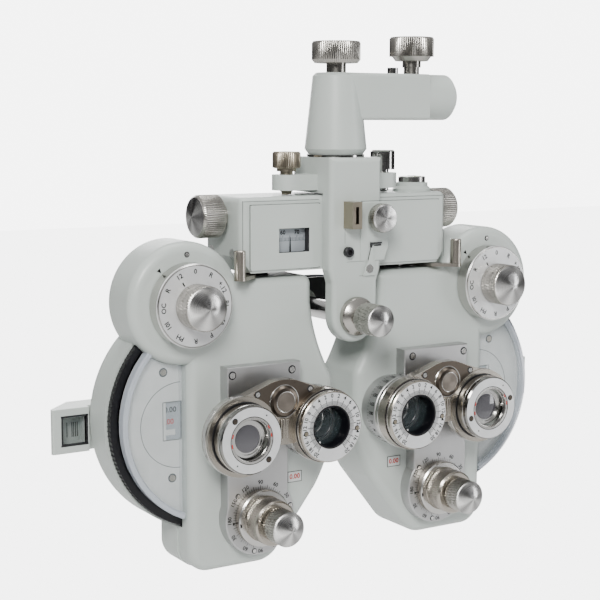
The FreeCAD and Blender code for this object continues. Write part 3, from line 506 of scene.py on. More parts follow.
def face_knobs():
    x, z = where("rod_clamp_turn")
    face_knob("rod_clamp_knob_fluted", "rod_clamp_knob", "rod_clamp", x, z,
              [(0, 26), (2.95, 26), (2.95, 17.2), (5, 17.2), (5, 12), (8.6, 12)], (9, 11.6, 6.2), 0.3, 1,
              [(8.7, 5.8), (8, 5), (0, 3.8)], "nickel", 48)
    x, z = where("forehead_turn")
    face_knob("forehead_knob_knurled", "forehead_knob", "forehead_knob", x, z,
              [(0, 61), (4, 61), (4, 17.2), (12.1, 17.2), (12.1, 14.2), (11.4, 13.2), (6.4, 11), (6.4, 8), (8.2, 7)],
              (9.8, 6, -9.6), 0.45, 26, [(9.6, -9.9), (9, -10.6), (0, -13.2)], "steel", 30, 14.0)
    for side in SIDES:
        x, z = where("strong_knob_turn", side)
        face_knob(sided(side, "strong_knob_knurled"), sided(side, "strong_sphere_knob"), ridden(side, "strong_knob"),
                  x, z, [(0, 52.3), (29.85, 52.3), (29.85, 50.3), (2.5, 50.3), (2.5, 17), (13, 17)],
                  (13.4, 16.2, 3.4), 0.4, 22, [(12.7, 3), (11.7, 2.2), (0, -1.3)], "steel", 46, 12.0)
        x, z = where("cylinder_knob_turn", side)
        face_knob(sided(side, "cylinder_knob_knurled"), sided(side, "cylinder_knob"), ridden(side, "cylinder_knob"),
                  x, z, [(0, 34.4), (19.35, 34.4), (19.35, 32.6), (3.5, 32.6), (3.5, -0.4), (9.6, -0.4)],
                  (10.6, -1.6, -13.4), 0.35, 24, [(10.5, -14), (9.6, -15), (0, -18.6)], "steel", 40, 9.0)
        profile = [(3.55, -32.3), (14, -32.3), (14, -31.3), (5.5, -31.3), (5.5, -18.7), (17.5, -18.7), (17.5, -14.3),
                   (16.7, -13.5), (14.1, -13.3), (13.7, -12.4)]
        profile += band(14, -12, -2.4, 0.2, 30) + [(13.8, -1.7), (13.8, -1.1), (12.8, 0), (3.55, 0)]
        Piece(x, 0, z).turned(profile, segments=60 * 8, ripple=diamonds(60, 14.0), closed=True).done(
            sided(side, "axis_knob_knurled"), ridden(side, "axis_knob"), "nickel", NICKEL,
            [sided(side, "axis_knob")])
        Piece(x, 0, z).turned([(17.3, -14.6), (17.55, -14.6), (17.55, -14.2), (16.75, -13.45), (14.3, -13.25),
                               (14.3, -13.6)], closed=True).done(
            sided(side, "axis_flange"), ridden(side, "axis_knob"), "nickel", CHROME)
        marks = Piece(x, 0, z)
        angle = math.radians(188)
        marks.prism([(17.4 * math.cos(angle + a) * k, 17.4 * math.sin(angle + a) * k)
                     for a, k in ((0.08, 1.0), (-0.08, 1.0), (0, 0.84))], -13.6, -13.4)
        marks.turned([(0, 0), (0.9, 0), (0.9, 0.1), (0, 0.1)], 0, 0, 20)
        marks.done(sided(side, "axis_mark"), ridden(side, "axis_knob"), "black_plastic", INK)


def spindle_knobs():
    centre = (JOINTS["pd_spindle_turn"]["pos_m"][2] - DATUM.z) / MM
    depth = (JOINTS["pd_spindle_turn"]["pos_m"][1] - DATUM.y) / MM
    for name, facing, stands_for in (("right", EAST, ["pd_spindle"]), ("left", WEST, [])):
        Piece(0, depth, centre, facing).turned(
            [(0, 0), (5, 0), (5, 76.9), (8, 76.9), (8, 79), (12.6, 80.2)] + band(13.1, 80.6, 93.4, 0.45)
            + [(12.9, 93.9), (11.7, 95.3), (0, 95.3)], segments=60 * 6, ripple=flutes(60)).done(
            "pd_knob_%s" % name, "pd_spindle", "steel", KNURL, stands_for)
        Piece(0, depth, centre, facing).turned([(0, 95.2), (11.75, 95.2), (11.75, 95.3), (0, 97.5)],
                                               segments=128).done(
            "pd_knob_%s_face" % name, "pd_spindle", "steel", SPUN_PAINTED_SHEEN)


# ---------------------------------------------------------------- dials and scales

def wheel_teeth(side):
    x, z = where("weak_sphere_turn", side)
    count = 150
    Piece(x, 0, z).turned([(69, -43.5), (70.4, -43.2, 1.3), (70.4, -41.6, 1.3), (69.2, -41.35), (70.4, -41.1, 1.3),
                           (70.4, -39.4, 1.3), (69, -39.1)], segments=count * 4, ripple=flutes(count),
                          closed=True).done(
        sided(side, "wheel_teeth"), ridden(side, "weak_wheel"), "black_plastic", BLACK)


def aux_dial_marks(side):
    x, z = where("aux_dial_turn", side)
    labels = ("0", "R", "+.12", "RL", "6^", "P", "R", "PH", "10I", "OC", "R", "12")
    body = ridden(side, "aux_dial")
    marks = Piece(x, 17.3, z)
    marks.figures({math.radians(90 - 30 * i): text for i, text in enumerate(labels)}, 20.3, 2.9, 0)
    marks.bar(15.2 * math.cos(2.1), 15.2 * math.sin(2.1), 0.9, 2.6, -0.03, 0.06, 2.1 - math.pi / 2)
    marks.done(sided(side, "aux_dial_marks"), body, "black_plastic", INK)
    Piece(x, 0, z).turned([(24.4, -27.6), (24.95, -27), (24.95, -18.2), (24.1, -17.25), (23.6, -17.25),
                           (23.6, -17.5)],
                          closed=True, segments=160).done(sided(side, "aux_dial_rim"), body, "dial_silver", CHROME)


def dial_surround(side):
    """The casing's screw and index round the sphere dial."""
    x, z = where("aux_dial_turn", side)
    body = ridden(side, "battery")
    recessed_screws(sided(side, "bump_screw"), body, (x, 28, z), [(0, 29.2)], 1.2)
    index = Piece(x, 28, z)
    angle = math.radians(131)
    index.prism([(r * math.cos(angle + a), r * math.sin(angle + a))
                 for r, a in ((25.4, 0), (28.2, 0.045), (28.2, -0.045))],
                -0.02, 0.08)
    index.done(sided(side, "dial_index"), body, "black_plastic", INK)


def sphere_readout(side):
    """The sphere power's window, the printing round it, painted shadow lines along its edges and the scale plate's
    screws.
    """
    x, z = where("weak_sphere_turn", side)
    body = ridden(side, "battery")
    middle = side * 30.6
    card = Piece(x + middle, 0, z)
    card.bar(0, 0, 11.6, 23.0, -38.75, -38.35)
    card.done(sided(side, "sphere_card"), body, "scale_grey", READOUT)
    for name, material, across, height in (("weak", INK, 0.9, 6.6), ("strong", RED, 2.6, -0.6)):
        Piece(x + middle, 38.4, z).words("0.00", side * across, height, 3.3, 0.08).done(
            sided(side, "sphere_digits_" + name), body, "black_plastic", material)
    Piece(x + middle, 38.4, z).bar(side * 1.4, -7.0, 7.4, 3.4, 0, 0.12).done(
        sided(side, "sphere_label"), body, "scale_grey", CARD)
    # Painted shadow: dark grey lines along the window's edges and a curved line beside it.
    lines = Piece(x, 37.4, z)
    for y in (-11.6, 11.6):
        lines.bar(middle, y, 12, 0.45, -0.02, 0.07)
    lines.bar(side * 36.8, 0, 0.45, 23.4, -0.02, 0.07)
    centre, reach, steps = side * 25.4, 26, 48
    for i in range(steps):
        angle = math.pi * ((i + 0.5) / steps - 0.5)
        lines.bar(centre + side * reach * math.cos(angle), -2.8 + reach * math.sin(angle), 0.4,
                  math.pi * reach / steps, -0.02, 0.07, side * angle)
    lines.done(sided(side, "shield_shadow_lines"), body, "scale_grey", PAINTED_SEAM_SHADOW)
    recessed_screws(sided(side, "scale_plate_screws"), body, (x, 37.4, z), [(side * 36.4, 29.8), (side * 31, -34.8)],
                    1.9, slot="nickel", finish=BRASSY)


def shield_edge(side):
    """The polished bevel along the shield's round edge."""
    x, z = where("weak_sphere_turn", side)
    half = math.radians(66)
    steps = 64
    edge = Piece(x, 0, z)
    rings = []
    for i in range(steps + 1):
        angle = half * (2 * i / steps - 1)
        c, s = side * math.cos(angle), math.sin(angle)
        rings.append([edge.mesh.verts.new((r * c, r * s, h)) for r, h in
                      ((61.2, -33), (62.4, -31.35), (64.3, -31.35), (65.15, -32.2), (65.15, -37.2), (62.6, -37.2))])
    edge._rings(rings, False)
    edge.mesh.faces.new(rings[0])
    edge.mesh.faces.new(rings[-1])
    edge.done(sided(side, "shield_edge"), ridden(side, "battery"), "clear", EDGE)


def plate_details(side):
    body = ridden(side, "battery")
    x, z = where("axis_knob_turn", side)
    lobe = Piece(x, 19, z)
    labels = {math.radians(30 * i): str(30 * i % 180 or 180) for i in range(12)}
    lobe.figures(labels, 21.3, 2.5, 0)
    lobe.ticks([math.radians(5 * i) for i in range(72) if i % 3], 17.5, 18.8, 0.22, 0)
    lobe.ticks([math.radians(15 * i) for i in range(24)], 17.5, 19.6, 0.3, 0)
    arrow = math.radians(186)
    lobe.prism(polar([arrow], 17.4) + polar([arrow + 0.06, arrow - 0.06], 19.4), -0.02, 0.1)
    lobe.done(sided(side, "axis_scale"), body, "black_plastic", INK)
    recessed_screws(sided(side, "plate_screws"), body, (0, 19, 0), [(side * 45.5, 15.3), (side * 87, 15.3)], 1.8)
    recessed_screws(sided(side, "lobe_screws"), body, (x, 19, z), polar(degrees(137, 11, 258), 21.5), 1.2, slots=1)


def cylinder_window(side):
    """The small window that shows the cylinder power in red."""
    body = ridden(side, "battery")
    Piece(side * 37.9, 28, -54.6).bar(0, 0, 9.6, 6.4, -0.05, 0.12).done(
        sided(side, "power_card"), body, "scale_grey", CARD)
    # Painted shadow: thin dark grey bars round the window's edge.
    rim = Piece(side * 37.9, 28, -54.6)
    for px, pz, width, height in ((0, 3.3, 10.2, 0.35), (0, -3.3, 10.2, 0.35), (4.95, 0, 0.35, 6.9),
                                  (-4.95, 0, 0.35, 6.9)):
        rim.bar(px, pz, width, height, -0.05, 0.3)
    rim.done(sided(side, "power_window_shadow"), body, "dark_metal", PAINTED_SEAM_SHADOW)
    Piece(side * 37.9, 28, -54.6).words("0.00", 0, 0, 3.1, 0.16).done(
        sided(side, "power_digits"), body, "scale_grey", RED)


def aperture_marks(side):
    x, z = where("axis_ring_turn", side)
    body = ridden(side, "aperture_ring")
    marks = Piece(x, 0, z)
    for i in range(24):
        angle = math.radians(15 * i)
        value = str((15 * i) % 180 or 180)
        turn = Matrix.Rotation(angle, 4, "Z") @ Matrix.Translation((22.42, 0, -14.4)) @ \
            Matrix(((0, 0, 1, 0), (1, 0, 0, 0), (0, 1, 0, 0), (0, 0, 0, 1)))
        copy = lettering(value).copy()
        copy.transform(turn @ Matrix.Rotation(math.pi / 2, 4, "Z") @ Matrix.Diagonal((2.2, 2.2, 0.06, 1)))
        marks.mesh.from_mesh(copy)
        bpy.data.meshes.remove(copy)
    for i in range(72):
        angle = math.radians(5 * i)
        length = 1.7 if i % 3 == 0 else 1.0
        c, s = math.cos(angle), math.sin(angle)
        corners = [(22.35, -0.1), (22.5, -0.1), (22.5, 0.1), (22.35, 0.1)]
        marks.prism([(c * r - s * t, s * r + c * t) for r, t in corners], -18.6, -18.6 + length)
    marks.done(sided(side, "aperture_marks"), body, "black_plastic", INK)
    Piece(x, 0, z).turned([(13.4, -27.6), (13.4, -10.2), (10.2, -9.95), (9.7, -10.4), (9.7, -27.6)],
                          closed=True).done(
        sided(side, "aperture_tube"), body, "black_plastic", BLACK)
    Piece(x, 0, z).turned([(9.1, -19), (9.75, -18.6), (9.75, -19.6), (9.3, -19.8)], closed=True).done(
        sided(side, "aperture_lip"), body, "steel", BRIGHT)


def glass_pieces(side):
    eye_x, eye_z = where("axis_ring_turn", side)
    cross_x, cross_z = where("cross_ring_turn", side)
    for name, body, x, z, radius, middle in (
            ("aperture_glass", "aperture_ring", eye_x, eye_z, 9.9, -22),
            ("eyepiece_glass", "battery", eye_x, eye_z, 12.9, -72),
            ("prism_glass", "prism_dial", eye_x, eye_z, 12.4, -2.5)):
        Piece(x, 0, z).turned(lens(radius, 1.4, middle, 0.7), segments=72).done(
            sided(side, name), ridden(side, body), "clear", LENS)
    Piece(cross_x, 0, cross_z).turned(lens(9.55, 0.8, 1.8, 0.45), segments=72).done(
        sided(side, "cross_glass"), ridden(side, "cross_lens"), "clear", COATED)


# ---------------------------------------------------------------- the turret

def turret_details(side):
    body = ridden(side, "turret")
    x, z = where("turret_swing", side)
    panel = Piece(x, 2.5, z)
    outline = [(-20.5, 5.2), (-21.6, 7.2), (-20.4, 9.0), (-9, 14.2), (-4, 15.4), (0, 15.7), (4, 15.4), (9, 14.2),
               (20.4, 9.0), (21.6, 7.2), (20.5, 5.2), (14, -2), (9.8, -8), (-9.8, -8), (-14, -2)]
    panel.prism([(a * 0.97, b * 0.84) for a, b in outline], -0.05, 0.22)
    panel.done(sided(side, "turret_panel"), body, "nickel", GUNMETAL, bevel=0.1)
    recessed_screws(sided(side, "turret_screws"), body, (x, 2.3, z), [(-18.2, 5.9), (18.2, 5.9)], 1.4, slots=1)
    Piece(x, 0, z).turned([(6.3, 0.1), (8.4, -0.4), (9.6, -1.9), (9.6, -2.6), (8, -2.6), (6.3, -0.5)],
                          closed=True).done(
        sided(side, "turret_shoulder"), body, "nickel", GUNMETAL)
    rims = Piece(x, 0, z)
    rims.turned([(6, -0.2), (6.45, -0.15), (6.45, 0.12), (6.25, 0.2), (6, 0.1)], closed=True)
    rims.turned([(9.5, -2.7), (10.2, -2.7), (10.2, -2.1), (9.9, -1.8), (9.5, -2.0)], closed=True)
    rims.done(sided(side, "turret_rims"), body, "nickel", CHROME)
    Piece(x, 0, z).turned([(0, -0.1), (6.05, -0.1), (6.05, 0.04), (0, 0.1)]).done(
        sided(side, "turret_cap_face"), body, "nickel", CAP)
    stop = Piece(x, 2.5, z)
    for across in (-2.1, -0.7, 0.7, 2.1):
        stop.bar(across, -16.5, 1.2, 12, -0.1, 1.6 - 0.25 * abs(across))
    stop.done(sided(side, "turret_stop"), body, "nickel", NICKEL, bevel=0.3)


def prism_details(side):
    x, z = where("prism_turn", side)
    body = ridden(side, "prism_dial")
    Piece(x, 0, z).turned([(13.4, 5.9), (21, 5.9), (21, 6.02), (13.4, 6.02)], closed=True, segments=128).done(
        sided(side, "prism_face"), body, "dial_silver", DIAL)
    marks = Piece(x, 0, z)
    labels = {}
    for i in range(-10, 11):
        labels[math.radians(90 - 14.5 * i)] = str(2 * abs(i))
    marks.figures(labels, 19.1, 2.5, 6.03)
    marks.ticks([math.radians(90 - 14.5 * i) for i in range(-10, 11)], 13.5, 17.3, 0.45, 6.03)
    marks.ticks([math.radians(90 - 2.9 * i) for i in range(-50, 51) if i % 5], 13.5, 15.9, 0.3, 6.03)
    marks.done(sided(side, "prism_marks"), body, "black_plastic", INK)
    recessed_screws(sided(side, "prism_screws"), body, (x, -6, z), polar(degrees(187, 352), 18.4), 1.15, 1,
                    "nickel", BRASSY)
    Piece(x, 0, z).turned([(13.25, -9), (13.25, 6.15), (12.4, 6.15), (11.9, 5.4), (11.9, -9)], closed=True).done(
        sided(side, "prism_tube"), body, "black_plastic", BLACK)
    Piece(x, 0, z).turned([(0, 5.4), (0.6, 5.5), (0.6, 5.9), (0, 6.1)], -8.5, -8.5, 16).done(
        sided(side, "prism_bead"), body, "dial_silver", DIAL)
    # Painted shade: a flat dark ring where the groove between dial and turret falls into shade.
    Piece(x, 0, z).turned([(21.85, 0.7), (22.4, 0.7), (22.4, 0.96), (21.85, 0.96)], closed=True, segments=128).done(
        sided(side, "prism_groove_shade"), ridden(side, "turret"), "dark_metal", DARK)
    Piece(x, 0, z).turned([(21.75, 1.4), (21.95, 1.6), (21.95, 2.4), (21.75, 2.6)], closed=True, segments=128).done(
        sided(side, "prism_ring"), body, "nickel", CHROME)
    collar = Piece(x, 0, z)
    collar.turned([(22.7, -8.9), (23.1, -8.5), (23.1, -6.4), (22.7, -6)], closed=True, segments=128)
    collar.done(sided(side, "prism_collars"), ridden(side, "turret"), "nickel", CHROME)


def cross_details(side):
    x, z = where("cross_ring_turn", side)
    body = ridden(side, "cross_ring")
    Piece(x, 0, z).turned([(14.2, 7.7), (19.6, 7.7), (19.6, 7.83), (14.2, 7.83)], closed=True, segments=128).done(
        sided(side, "cross_face"), body, "dial_silver", DIAL)
    rings = Piece(x, 0, z)
    rings.turned([(13.85, 7.75), (14.25, 7.75), (14.25, 7.9), (13.85, 7.9)], closed=True, segments=96)
    for px, py in polar(degrees(55, 235), 17):
        rings.turned([(0, 7.8), (0.5, 7.8), (0.5, 7.92), (0, 7.92)], px, py, 14)
    rings.done(sided(side, "cross_marks"), body, "black_plastic", INK)
    red = Piece(x, 0, z)
    for angle in (0.15, 0.55, 2.85, 3.3):
        red.bar(13.2 * math.cos(angle), 13.2 * math.sin(angle), 0.7, 2.4, 7.7, 7.84, angle)
    red.done(sided(side, "cross_red_marks"), body, "black_plastic", RED)
    first = 132 if side == LEFT else 18
    recessed_screws(sided(side, "cross_screws"), body, (x, -7.8, z), polar(degrees(first, first + 180), 16.8), 1.3,
                    1, "nickel", GUNMETAL)
    # Painted shade: a flat dark ring where the groove between ring and turret falls into shade.
    Piece(x, 0, z).turned([(20.45, -2.1), (21.2, -2.1), (21.2, -1.93), (20.45, -1.93)], closed=True,
                          segments=128).done(
        sided(side, "cross_groove_shade"), ridden(side, "turret"), "dark_metal", DARK)
    Piece(x, 0, z).turned([(13.85, -9), (13.85, 7.78), (12.6, 7.78), (12.1, 6.9), (12.1, 5.2), (13.1, 5.0),
                           (13.1, -9)],
                          closed=True).done(sided(side, "cross_tube"), body, "steel", CHROME)
    Piece(x, 0, z).turned([(20.35, 2.2), (20.6, 2.5), (20.6, 4.2), (20.35, 4.5)], closed=True, segments=128).done(
        sided(side, "cross_ring_band"), body, "nickel", CHROME)
    Piece(x, 0, z).turned([(23.9, -8.6), (24.3, -8.2), (24.3, -4.6), (23.9, -4.2)], closed=True, segments=128).done(
        sided(side, "cross_collar"), ridden(side, "turret"), "nickel", CHROME)


# ---------------------------------------------------------------- housing, column and head

def housing_details():
    # Painted shadow: dark grey strips along the edges and seams of the raised plates.
    lines = Piece(0, 27, 0)
    for side in SIDES:
        lines.bar(side * 75.2, 98, 0.3, 40, -0.02, 0.06)
        lines.bar(side * 48.5, 117.6, 54, 0.25, -0.02, 0.06)
        for z in (75.9, 115.4):
            lines.bar(side * 45.6, z, 49.6, 0.35, -0.02, 0.2)
        for x in (20.9, 70.3):
            lines.bar(side * x, 95.65, 0.35, 39.6, -0.02, 0.2)
    lines.done("housing_shadow_lines", "pd_box", "dark_metal", PAINTED_SEAM_SHADOW)
    x0, x1, z0, z1 = -50.5, -29, 86, 100.7
    # The thin dark walls are painted shade for the window's inner shadow; the wide right edge with its corners is
    # the window's black edge.
    rim = Piece((x0 + x1) / 2, 26, (z0 + z1) / 2)
    width, height = x1 - x0, z1 - z0
    for x, z, w, h in ((0, height / 2, width, 0.5), (0, -height / 2, width, 0.3), (-width / 2, 0, 0.3, height),
                       (width / 2 - 0.4, 0, 1.3, height)):
        rim.bar(x, z, w, h, -3.5, -0.05)
    for corner in SIDES:
        rim.prism([(width / 2, corner * height / 2), (width / 2 - 3, corner * height / 2),
                   (width / 2 - 1, corner * (height / 2 - 0.9)), (width / 2, corner * (height / 2 - 3))], -3.5,
                  -0.05)
    rim.done("pd_window_edge_and_shade", "pd_box", "dark_metal", DARK)
    strip = Piece(-39.75, 31.4, 93.35)
    strip.bar(0, 0, 38, 19, -0.1, 0.12)
    strip.done("pd_scale_strip", "carriage_left", "scale_grey", READOUT)
    marks = Piece(-39.75, 31.4, 93.35)
    for step in range(-16, 17):
        tall = 3.2 if step % 5 == 0 else 2.0
        marks.bar(step, -0.6 + tall / 2, 0.18, tall, 0.1, 0.17)
    for value in (50, 60, 70, 80):
        marks.words(str(value), value - 65, 4.4, 2.6, 0.14)
    marks.bar(0, -0.7, 36, 0.14, 0.1, 0.17)
    marks.done("pd_scale_marks", "carriage_left", "black_plastic", INK)
    pointer = Piece(-39.75, 30.9, 93.35)
    pointer.prism([(-0.55, -7.6), (0.55, -7.6), (0.16, 1.8), (-0.16, 1.8)], 0, 0.2)
    pointer.done("pd_pointer", "carriage_right", "black_plastic", INK)
    vial = Piece(62, 45, 129, UP)
    vial.turned([(0, -0.2), (6.6, -0.2), (6.6, 0.15), (5, 0.6), (2.5, 0.85), (0, 0.95)])
    vial.done("vial_glass", "pd_box", "clear", LIQUID)
    ring = Piece(62, 45, 129, UP)
    ring.turned([(6.5, -3), (8.75, -3), (8.75, 0.1), (8.2, 0.5), (6.9, 0.5), (6.5, 0.1)], closed=True)
    ring.done("vial_ring", "pd_box", "steel", CHROME)
    mark = Piece(62, 45, 129.9, UP)
    mark.turned([(2.6, -0.4), (2.9, -0.4), (2.9, 0.02), (2.6, 0.02)], closed=True, segments=48)
    mark.done("vial_mark", "pd_box", "black_plastic", INK)


def column_details():
    body = "bracket"
    # Painted shadow: dark grey lines along the column's seams.
    front = Piece(0, 17.5, 0)
    front.bar(11.2, 116.2, 16.2, 0.3, -0.02, 0.06)
    front.bar(-8.4, 95, 0.22, 9, -0.02, 0.05)
    front.bar(8.5, 69.9, 12, 0.25, -0.02, 0.06)
    front.bar(-0.5, 79, 13, 0.22, -0.02, 0.06)
    front.done("column_seam_shadows", body, "dark_metal", PAINTED_SEAM_SHADOW)
    holder = Piece(0, 17.5, 0)
    holder.prism([(3, 79), (3, 115.8), (22.6, 115.8), (23.2, 106), (22.8, 97), (24, 87), (21, 79)], -8, 0.6)
    holder.done("rod_holder_plate", body, "casing_paint", PAINT, bevel=0.5)
    leaf = Piece(0, 17.5, 0)
    leaf.prism([(4.9, 69.9), (13.6, 69.9), (13.4, 79), (12.6, 88.6), (10.7, 88.6), (8.8, 79.5), (6.2, 74)], -0.02,
               1.3)
    leaf.done("latch_leaf", body, "casing_paint", PAINT, bevel=0.2)
    spring = Piece(0, 17.5, 0)
    spring.bar(14.4, 90, 8.4, 1.0, 0.2, 1.4)
    spring.bar(14.4, 88.6, 7.6, 0.8, 0.2, 1.2)
    spring.bar(10.4, 89, 1.0, 3.2, 0.2, 1.8)
    spring.bar(12.4, 84.5, 0.35, 8, 0.9, 1.3)
    spring.bar(9.4, 84, 0.35, 9, 0.9, 1.3, -0.28)
    spring.done("latch_spring", body, "dark_metal", DARK, bevel=0.15)
    Piece(9.2, 17.5, 74.3).screw(0, 0, 2.6, 0.8, 1.9, slots=1, angle=0.9).done("latch_screw", body, "steel", BRIGHT)
    socket = Piece(-6.4, 17.5, 85.3)
    socket.turned([(0, 0), (3.2, 0), (3.2, 2.6), (2.8, 3), (1.7, 3), (1.6, 1.2), (0, 1.2)], segments=48)
    socket.done("socket_screw", body, "dark_metal", DARK)
    # Painted shadow: a dark grey ring along the seam round the swivel post.
    seam = Piece(0, 41.5, 0, UP)
    seam.turned([(17.9, 144.35), (18.05, 144.35), (18.05, 144.6), (17.9, 144.6)], closed=True)
    seam.done("swivel_seam_shadow", body, "dark_metal", PAINTED_SEAM_SHADOW)


def forehead_pad():
    """A stem, a backing plate and a crowned soft pad."""
    low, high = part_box("forehead_rest")
    x, z = where("forehead_turn")
    stem = Piece(x, 0, z)
    stem.turned([(4.05, -42), (6.5, -42), (6.5, -79.5), (11, -79.8), (11, -80.8), (0, -80.8), (0, -62.5),
                 (4.05, -62.5)])
    stem.done("forehead_stem", "forehead_rest", "steel", BRIGHT)
    back = Piece(x, 0, z)
    back.prism([(28 * math.copysign(abs(math.cos(a)) ** 0.35, math.cos(a)),
                 6 + 11.6 * math.copysign(abs(math.sin(a)) ** 0.35, math.sin(a)))
                for a in [2 * math.pi * i / 64 for i in range(64)]], -81.2, -80)
    back.done("forehead_plate", "forehead_rest", "dark_metal", DARK)
    centre = Vector(((low.x + high.x) / 2, 0, 0))
    half = Vector(((high.x - low.x) / 2, 3.1 * MM, 12.6 * MM))
    centre.y = high.y - half.y
    centre.z = place(0, 0, z + 6).z
    mesh = bmesh.new()
    rows, count = 28, 72

    def power(value, exponent):
        return math.copysign(abs(value) ** exponent, value)

    rings = []
    for i in range(rows + 1):
        lift = -math.pi / 2 + math.pi * i / rows
        if i in (0, rows):
            rings.append([mesh.verts.new((centre.x, centre.y + half.y * math.sin(lift), centre.z))])
            continue
        ring = []
        for k in range(count):
            turn = 2 * math.pi * k / count
            across = power(math.cos(lift), 0.42)
            px = half.x * across * power(math.cos(turn), 0.45)
            pz = half.z * across * power(math.sin(turn), 0.45)
            crown = 1 - 0.35 * (px / half.x) ** 2
            ring.append(mesh.verts.new((centre.x + px, centre.y + half.y * power(math.sin(lift), 0.8) * crown,
                                        centre.z + pz)))
        rings.append(ring)
    for a, b in zip(rings, rings[1:]):
        size = max(len(a), len(b))
        for k in range(size):
            m = (k + 1) % size
            corners = [a[k % len(a)], a[m % len(a)], b[m % len(b)], b[k % len(b)]]
            mesh.faces.new(list(dict.fromkeys(corners)))
    bmesh.ops.recalc_face_normals(mesh, faces=mesh.faces)
    data = bpy.data.meshes.new("forehead_pad")
    mesh.to_mesh(data)
    mesh.free()
    data.shade_smooth()
    data.materials.append(RUBBER)
    pad = bpy.data.objects.new("forehead_pad", data)
    bpy.context.scene.collection.objects.link(pad)
    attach(pad, "forehead_rest")
    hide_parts("forehead_rest")


def back_details(side):
    """Eyecup rings, casing screws and the aligner's glass, seen from the patient's side."""
    body = ridden(side, "battery")
    x, z = where("axis_ring_turn", side)
    cup = Piece(x, 0, z)
    cup.turned([(13.05, -70.5), (16.9, -70.5), (17.05, -77.2), (16.2, -78), (14.2, -78), (13.05, -76.6)],
               closed=True)
    cup.done(sided(side, "eyecup"), body, "pad_rubber", RUBBER)
    spots = [(-side * px, pz) for px, pz in ((34, 60), (100, 42), (145, -12), (98, -90), (62, -94), (20, -25))]
    recessed_screws(sided(side, "casing_screws"), body, (0, 70, 0), spots, 2, facing=BACK)
    low, high = [(corner - DATUM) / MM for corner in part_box(sided(side, "aligner_housing"))]
    middle_x = side * 168
    front = Piece(middle_x, 66, -17.5)
    for px, pz, w, h in ((0, 8.8, 17.4, 1.0), (0, -8.8, 17.4, 1.0), (-8, 0, 1.0, 17), (8, 0, 1.0, 17)):
        front.bar(px, pz, w, h, -3, 0.1)
    front.done(sided(side, "aligner_rim"), body, "dark_metal", DARK)
    lines = Piece(middle_x, 69.6, -17.5)
    for px in (-3.6, -0.4, 0.6, 1.8, 3.0):
        lines.bar(px, 0, 0.45, 9, 0.1, 0.25)
    lines.done(sided(side, "aligner_lines"), body, "black_plastic", INK)
    glass = Piece(middle_x, 69.6, -17.5)
    glass.bar(0, 0, 15.6, 16.8, -0.4, 0.1)
    glass.done(sided(side, "aligner_glass"), body, "clear", LENS)


# ---------------------------------------------------------------- camera, light and floor

def camera():
    data = bpy.data.cameras.new("camera")
    data.sensor_width = 36
    data.lens = 83.56
    data.clip_start, data.clip_end = 0.05, 20
    made = bpy.data.objects.new("camera", data)
    yaw, pitch, roll = math.radians(31.84), math.radians(7.49), 0.003
    made.location = place(-482.1, -693.1, 167.7)
    made.rotation_euler = (Matrix.Rotation(-yaw, 3, "Z") @ Matrix.Rotation(math.pi / 2 - pitch, 3, "X")
                           @ Matrix.Rotation(roll, 3, "Z")).to_euler()
    bpy.context.scene.collection.objects.link(made)
    bpy.context.scene.camera = made


def area_light(name, offset, size, power, colour=(1, 1, 1)):
    data = bpy.data.lights.new(name, "AREA")
    data.shape = "RECTANGLE"
    data.size, data.size_y = size
    data.energy = power
    data.color = colour
    made = bpy.data.objects.new(name, data)
    target = (cad_bounds[0] + cad_bounds[1]) / 2
    made.location = target + Vector(offset)
    made.rotation_euler = (target - made.location).to_track_quat("-Z", "Y").to_euler()
    bpy.context.scene.collection.objects.link(made)


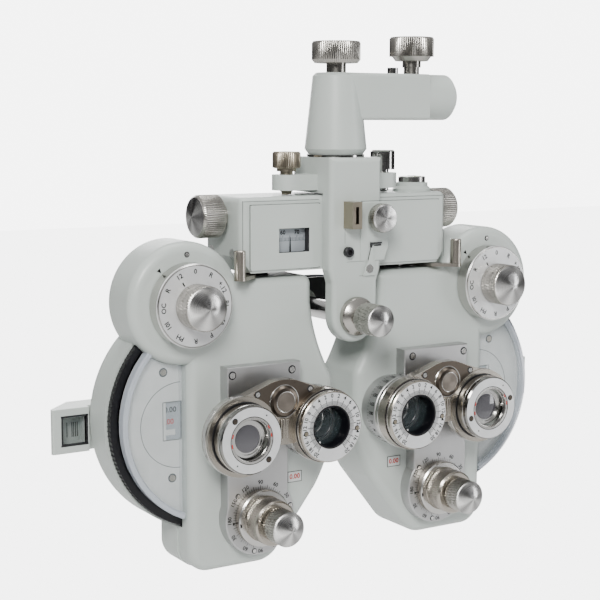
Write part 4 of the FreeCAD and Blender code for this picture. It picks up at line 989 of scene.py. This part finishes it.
def studio():
    world = bpy.data.worlds.new("studio")
    world.use_nodes = True
    bpy.context.scene.world = world
    tree = world.node_tree
    back = tree.nodes["Background"]
    coord = tree.nodes.new("ShaderNodeTexCoord")
    split = tree.nodes.new("ShaderNodeSeparateXYZ")
    ramp = tree.nodes.new("ShaderNodeValToRGB")
    scale = tree.nodes.new("ShaderNodeMapRange")
    scale.inputs["From Min"].default_value = -1
    tree.links.new(coord.outputs["Generated"], split.inputs[0])
    tree.links.new(split.outputs["Z"], scale.inputs["Value"])
    tree.links.new(scale.outputs[0], ramp.inputs[0])
    ramp.color_ramp.elements[0].color = (0.30, 0.30, 0.31, 1)
    ramp.color_ramp.elements[1].color = (1, 1, 1, 1)
    for position, level in ((0.38, 0.14), (0.49, 0.03), (0.56, 0.10), (0.66, 0.45), (0.76, 0.85)):
        ramp.color_ramp.elements.new(position).color = (level, level, level * 1.01, 1)
    paths = tree.nodes.new("ShaderNodeLightPath")
    mix = tree.nodes.new("ShaderNodeMix")
    mix.data_type = "RGBA"
    tree.links.new(paths.outputs["Is Camera Ray"], mix.inputs[0])
    tree.links.new(ramp.outputs[0], mix.inputs[6])
    mix.inputs[7].default_value = (9, 9, 9, 1)
    tree.links.new(mix.outputs[2], back.inputs["Color"])
    back.inputs["Strength"].default_value = 0.7
    area_light("key", (-0.9, -1.2, 0.9), (0.5, 0.5), 36, (1.0, 0.99, 0.97))
    area_light("fill", (1.2, -1.0, 0.1), (0.3, 0.9), 6, (0.97, 0.98, 1.0))
    area_light("top", (0.1, 0.1, 1.4), (1.0, 0.6), 14)
    area_light("behind", (0.5, 1.3, 0.4), (0.9, 0.6), 10)
    floor = bmesh.new()
    level = cad_bounds[0].z - 0.30
    bmesh.ops.create_grid(floor, x_segments=1, y_segments=1, size=6.0)
    data = bpy.data.meshes.new("floor")
    floor.to_mesh(data)
    floor.free()
    made = bpy.data.objects.new("floor", data)
    made.location.z = level
    white = Finish("floor_white", (0.8, 0.8, 0.8), 0.8)
    white.spread(white.noise(400), 0.01)
    glow = white.node("ShaderNodeEmission", Strength=5.5)
    blend = white.node("ShaderNodeMixShader", Fac=white.node("ShaderNodeLightPath").outputs["Is Camera Ray"])
    white.tree.links.new(white.shader.outputs[0], blend.inputs[1])
    white.tree.links.new(glow.outputs[0], blend.inputs[2])
    white.tree.links.new(blend.outputs[0], white.tree.nodes["Material Output"].inputs["Surface"])
    data.materials.append(white.material)
    bpy.context.scene.collection.objects.link(made)


camera()
finish_nodes()
stand_knobs()
face_knobs()
spindle_knobs()
housing_details()
column_details()
forehead_pad()
for side in SIDES:
    for build in (wheel_teeth, aux_dial_marks, dial_surround, sphere_readout, shield_edge, plate_details,
                  cylinder_window, aperture_marks, glass_pieces, turret_details, prism_details, cross_details,
                  back_details):
        build(side)
studio()
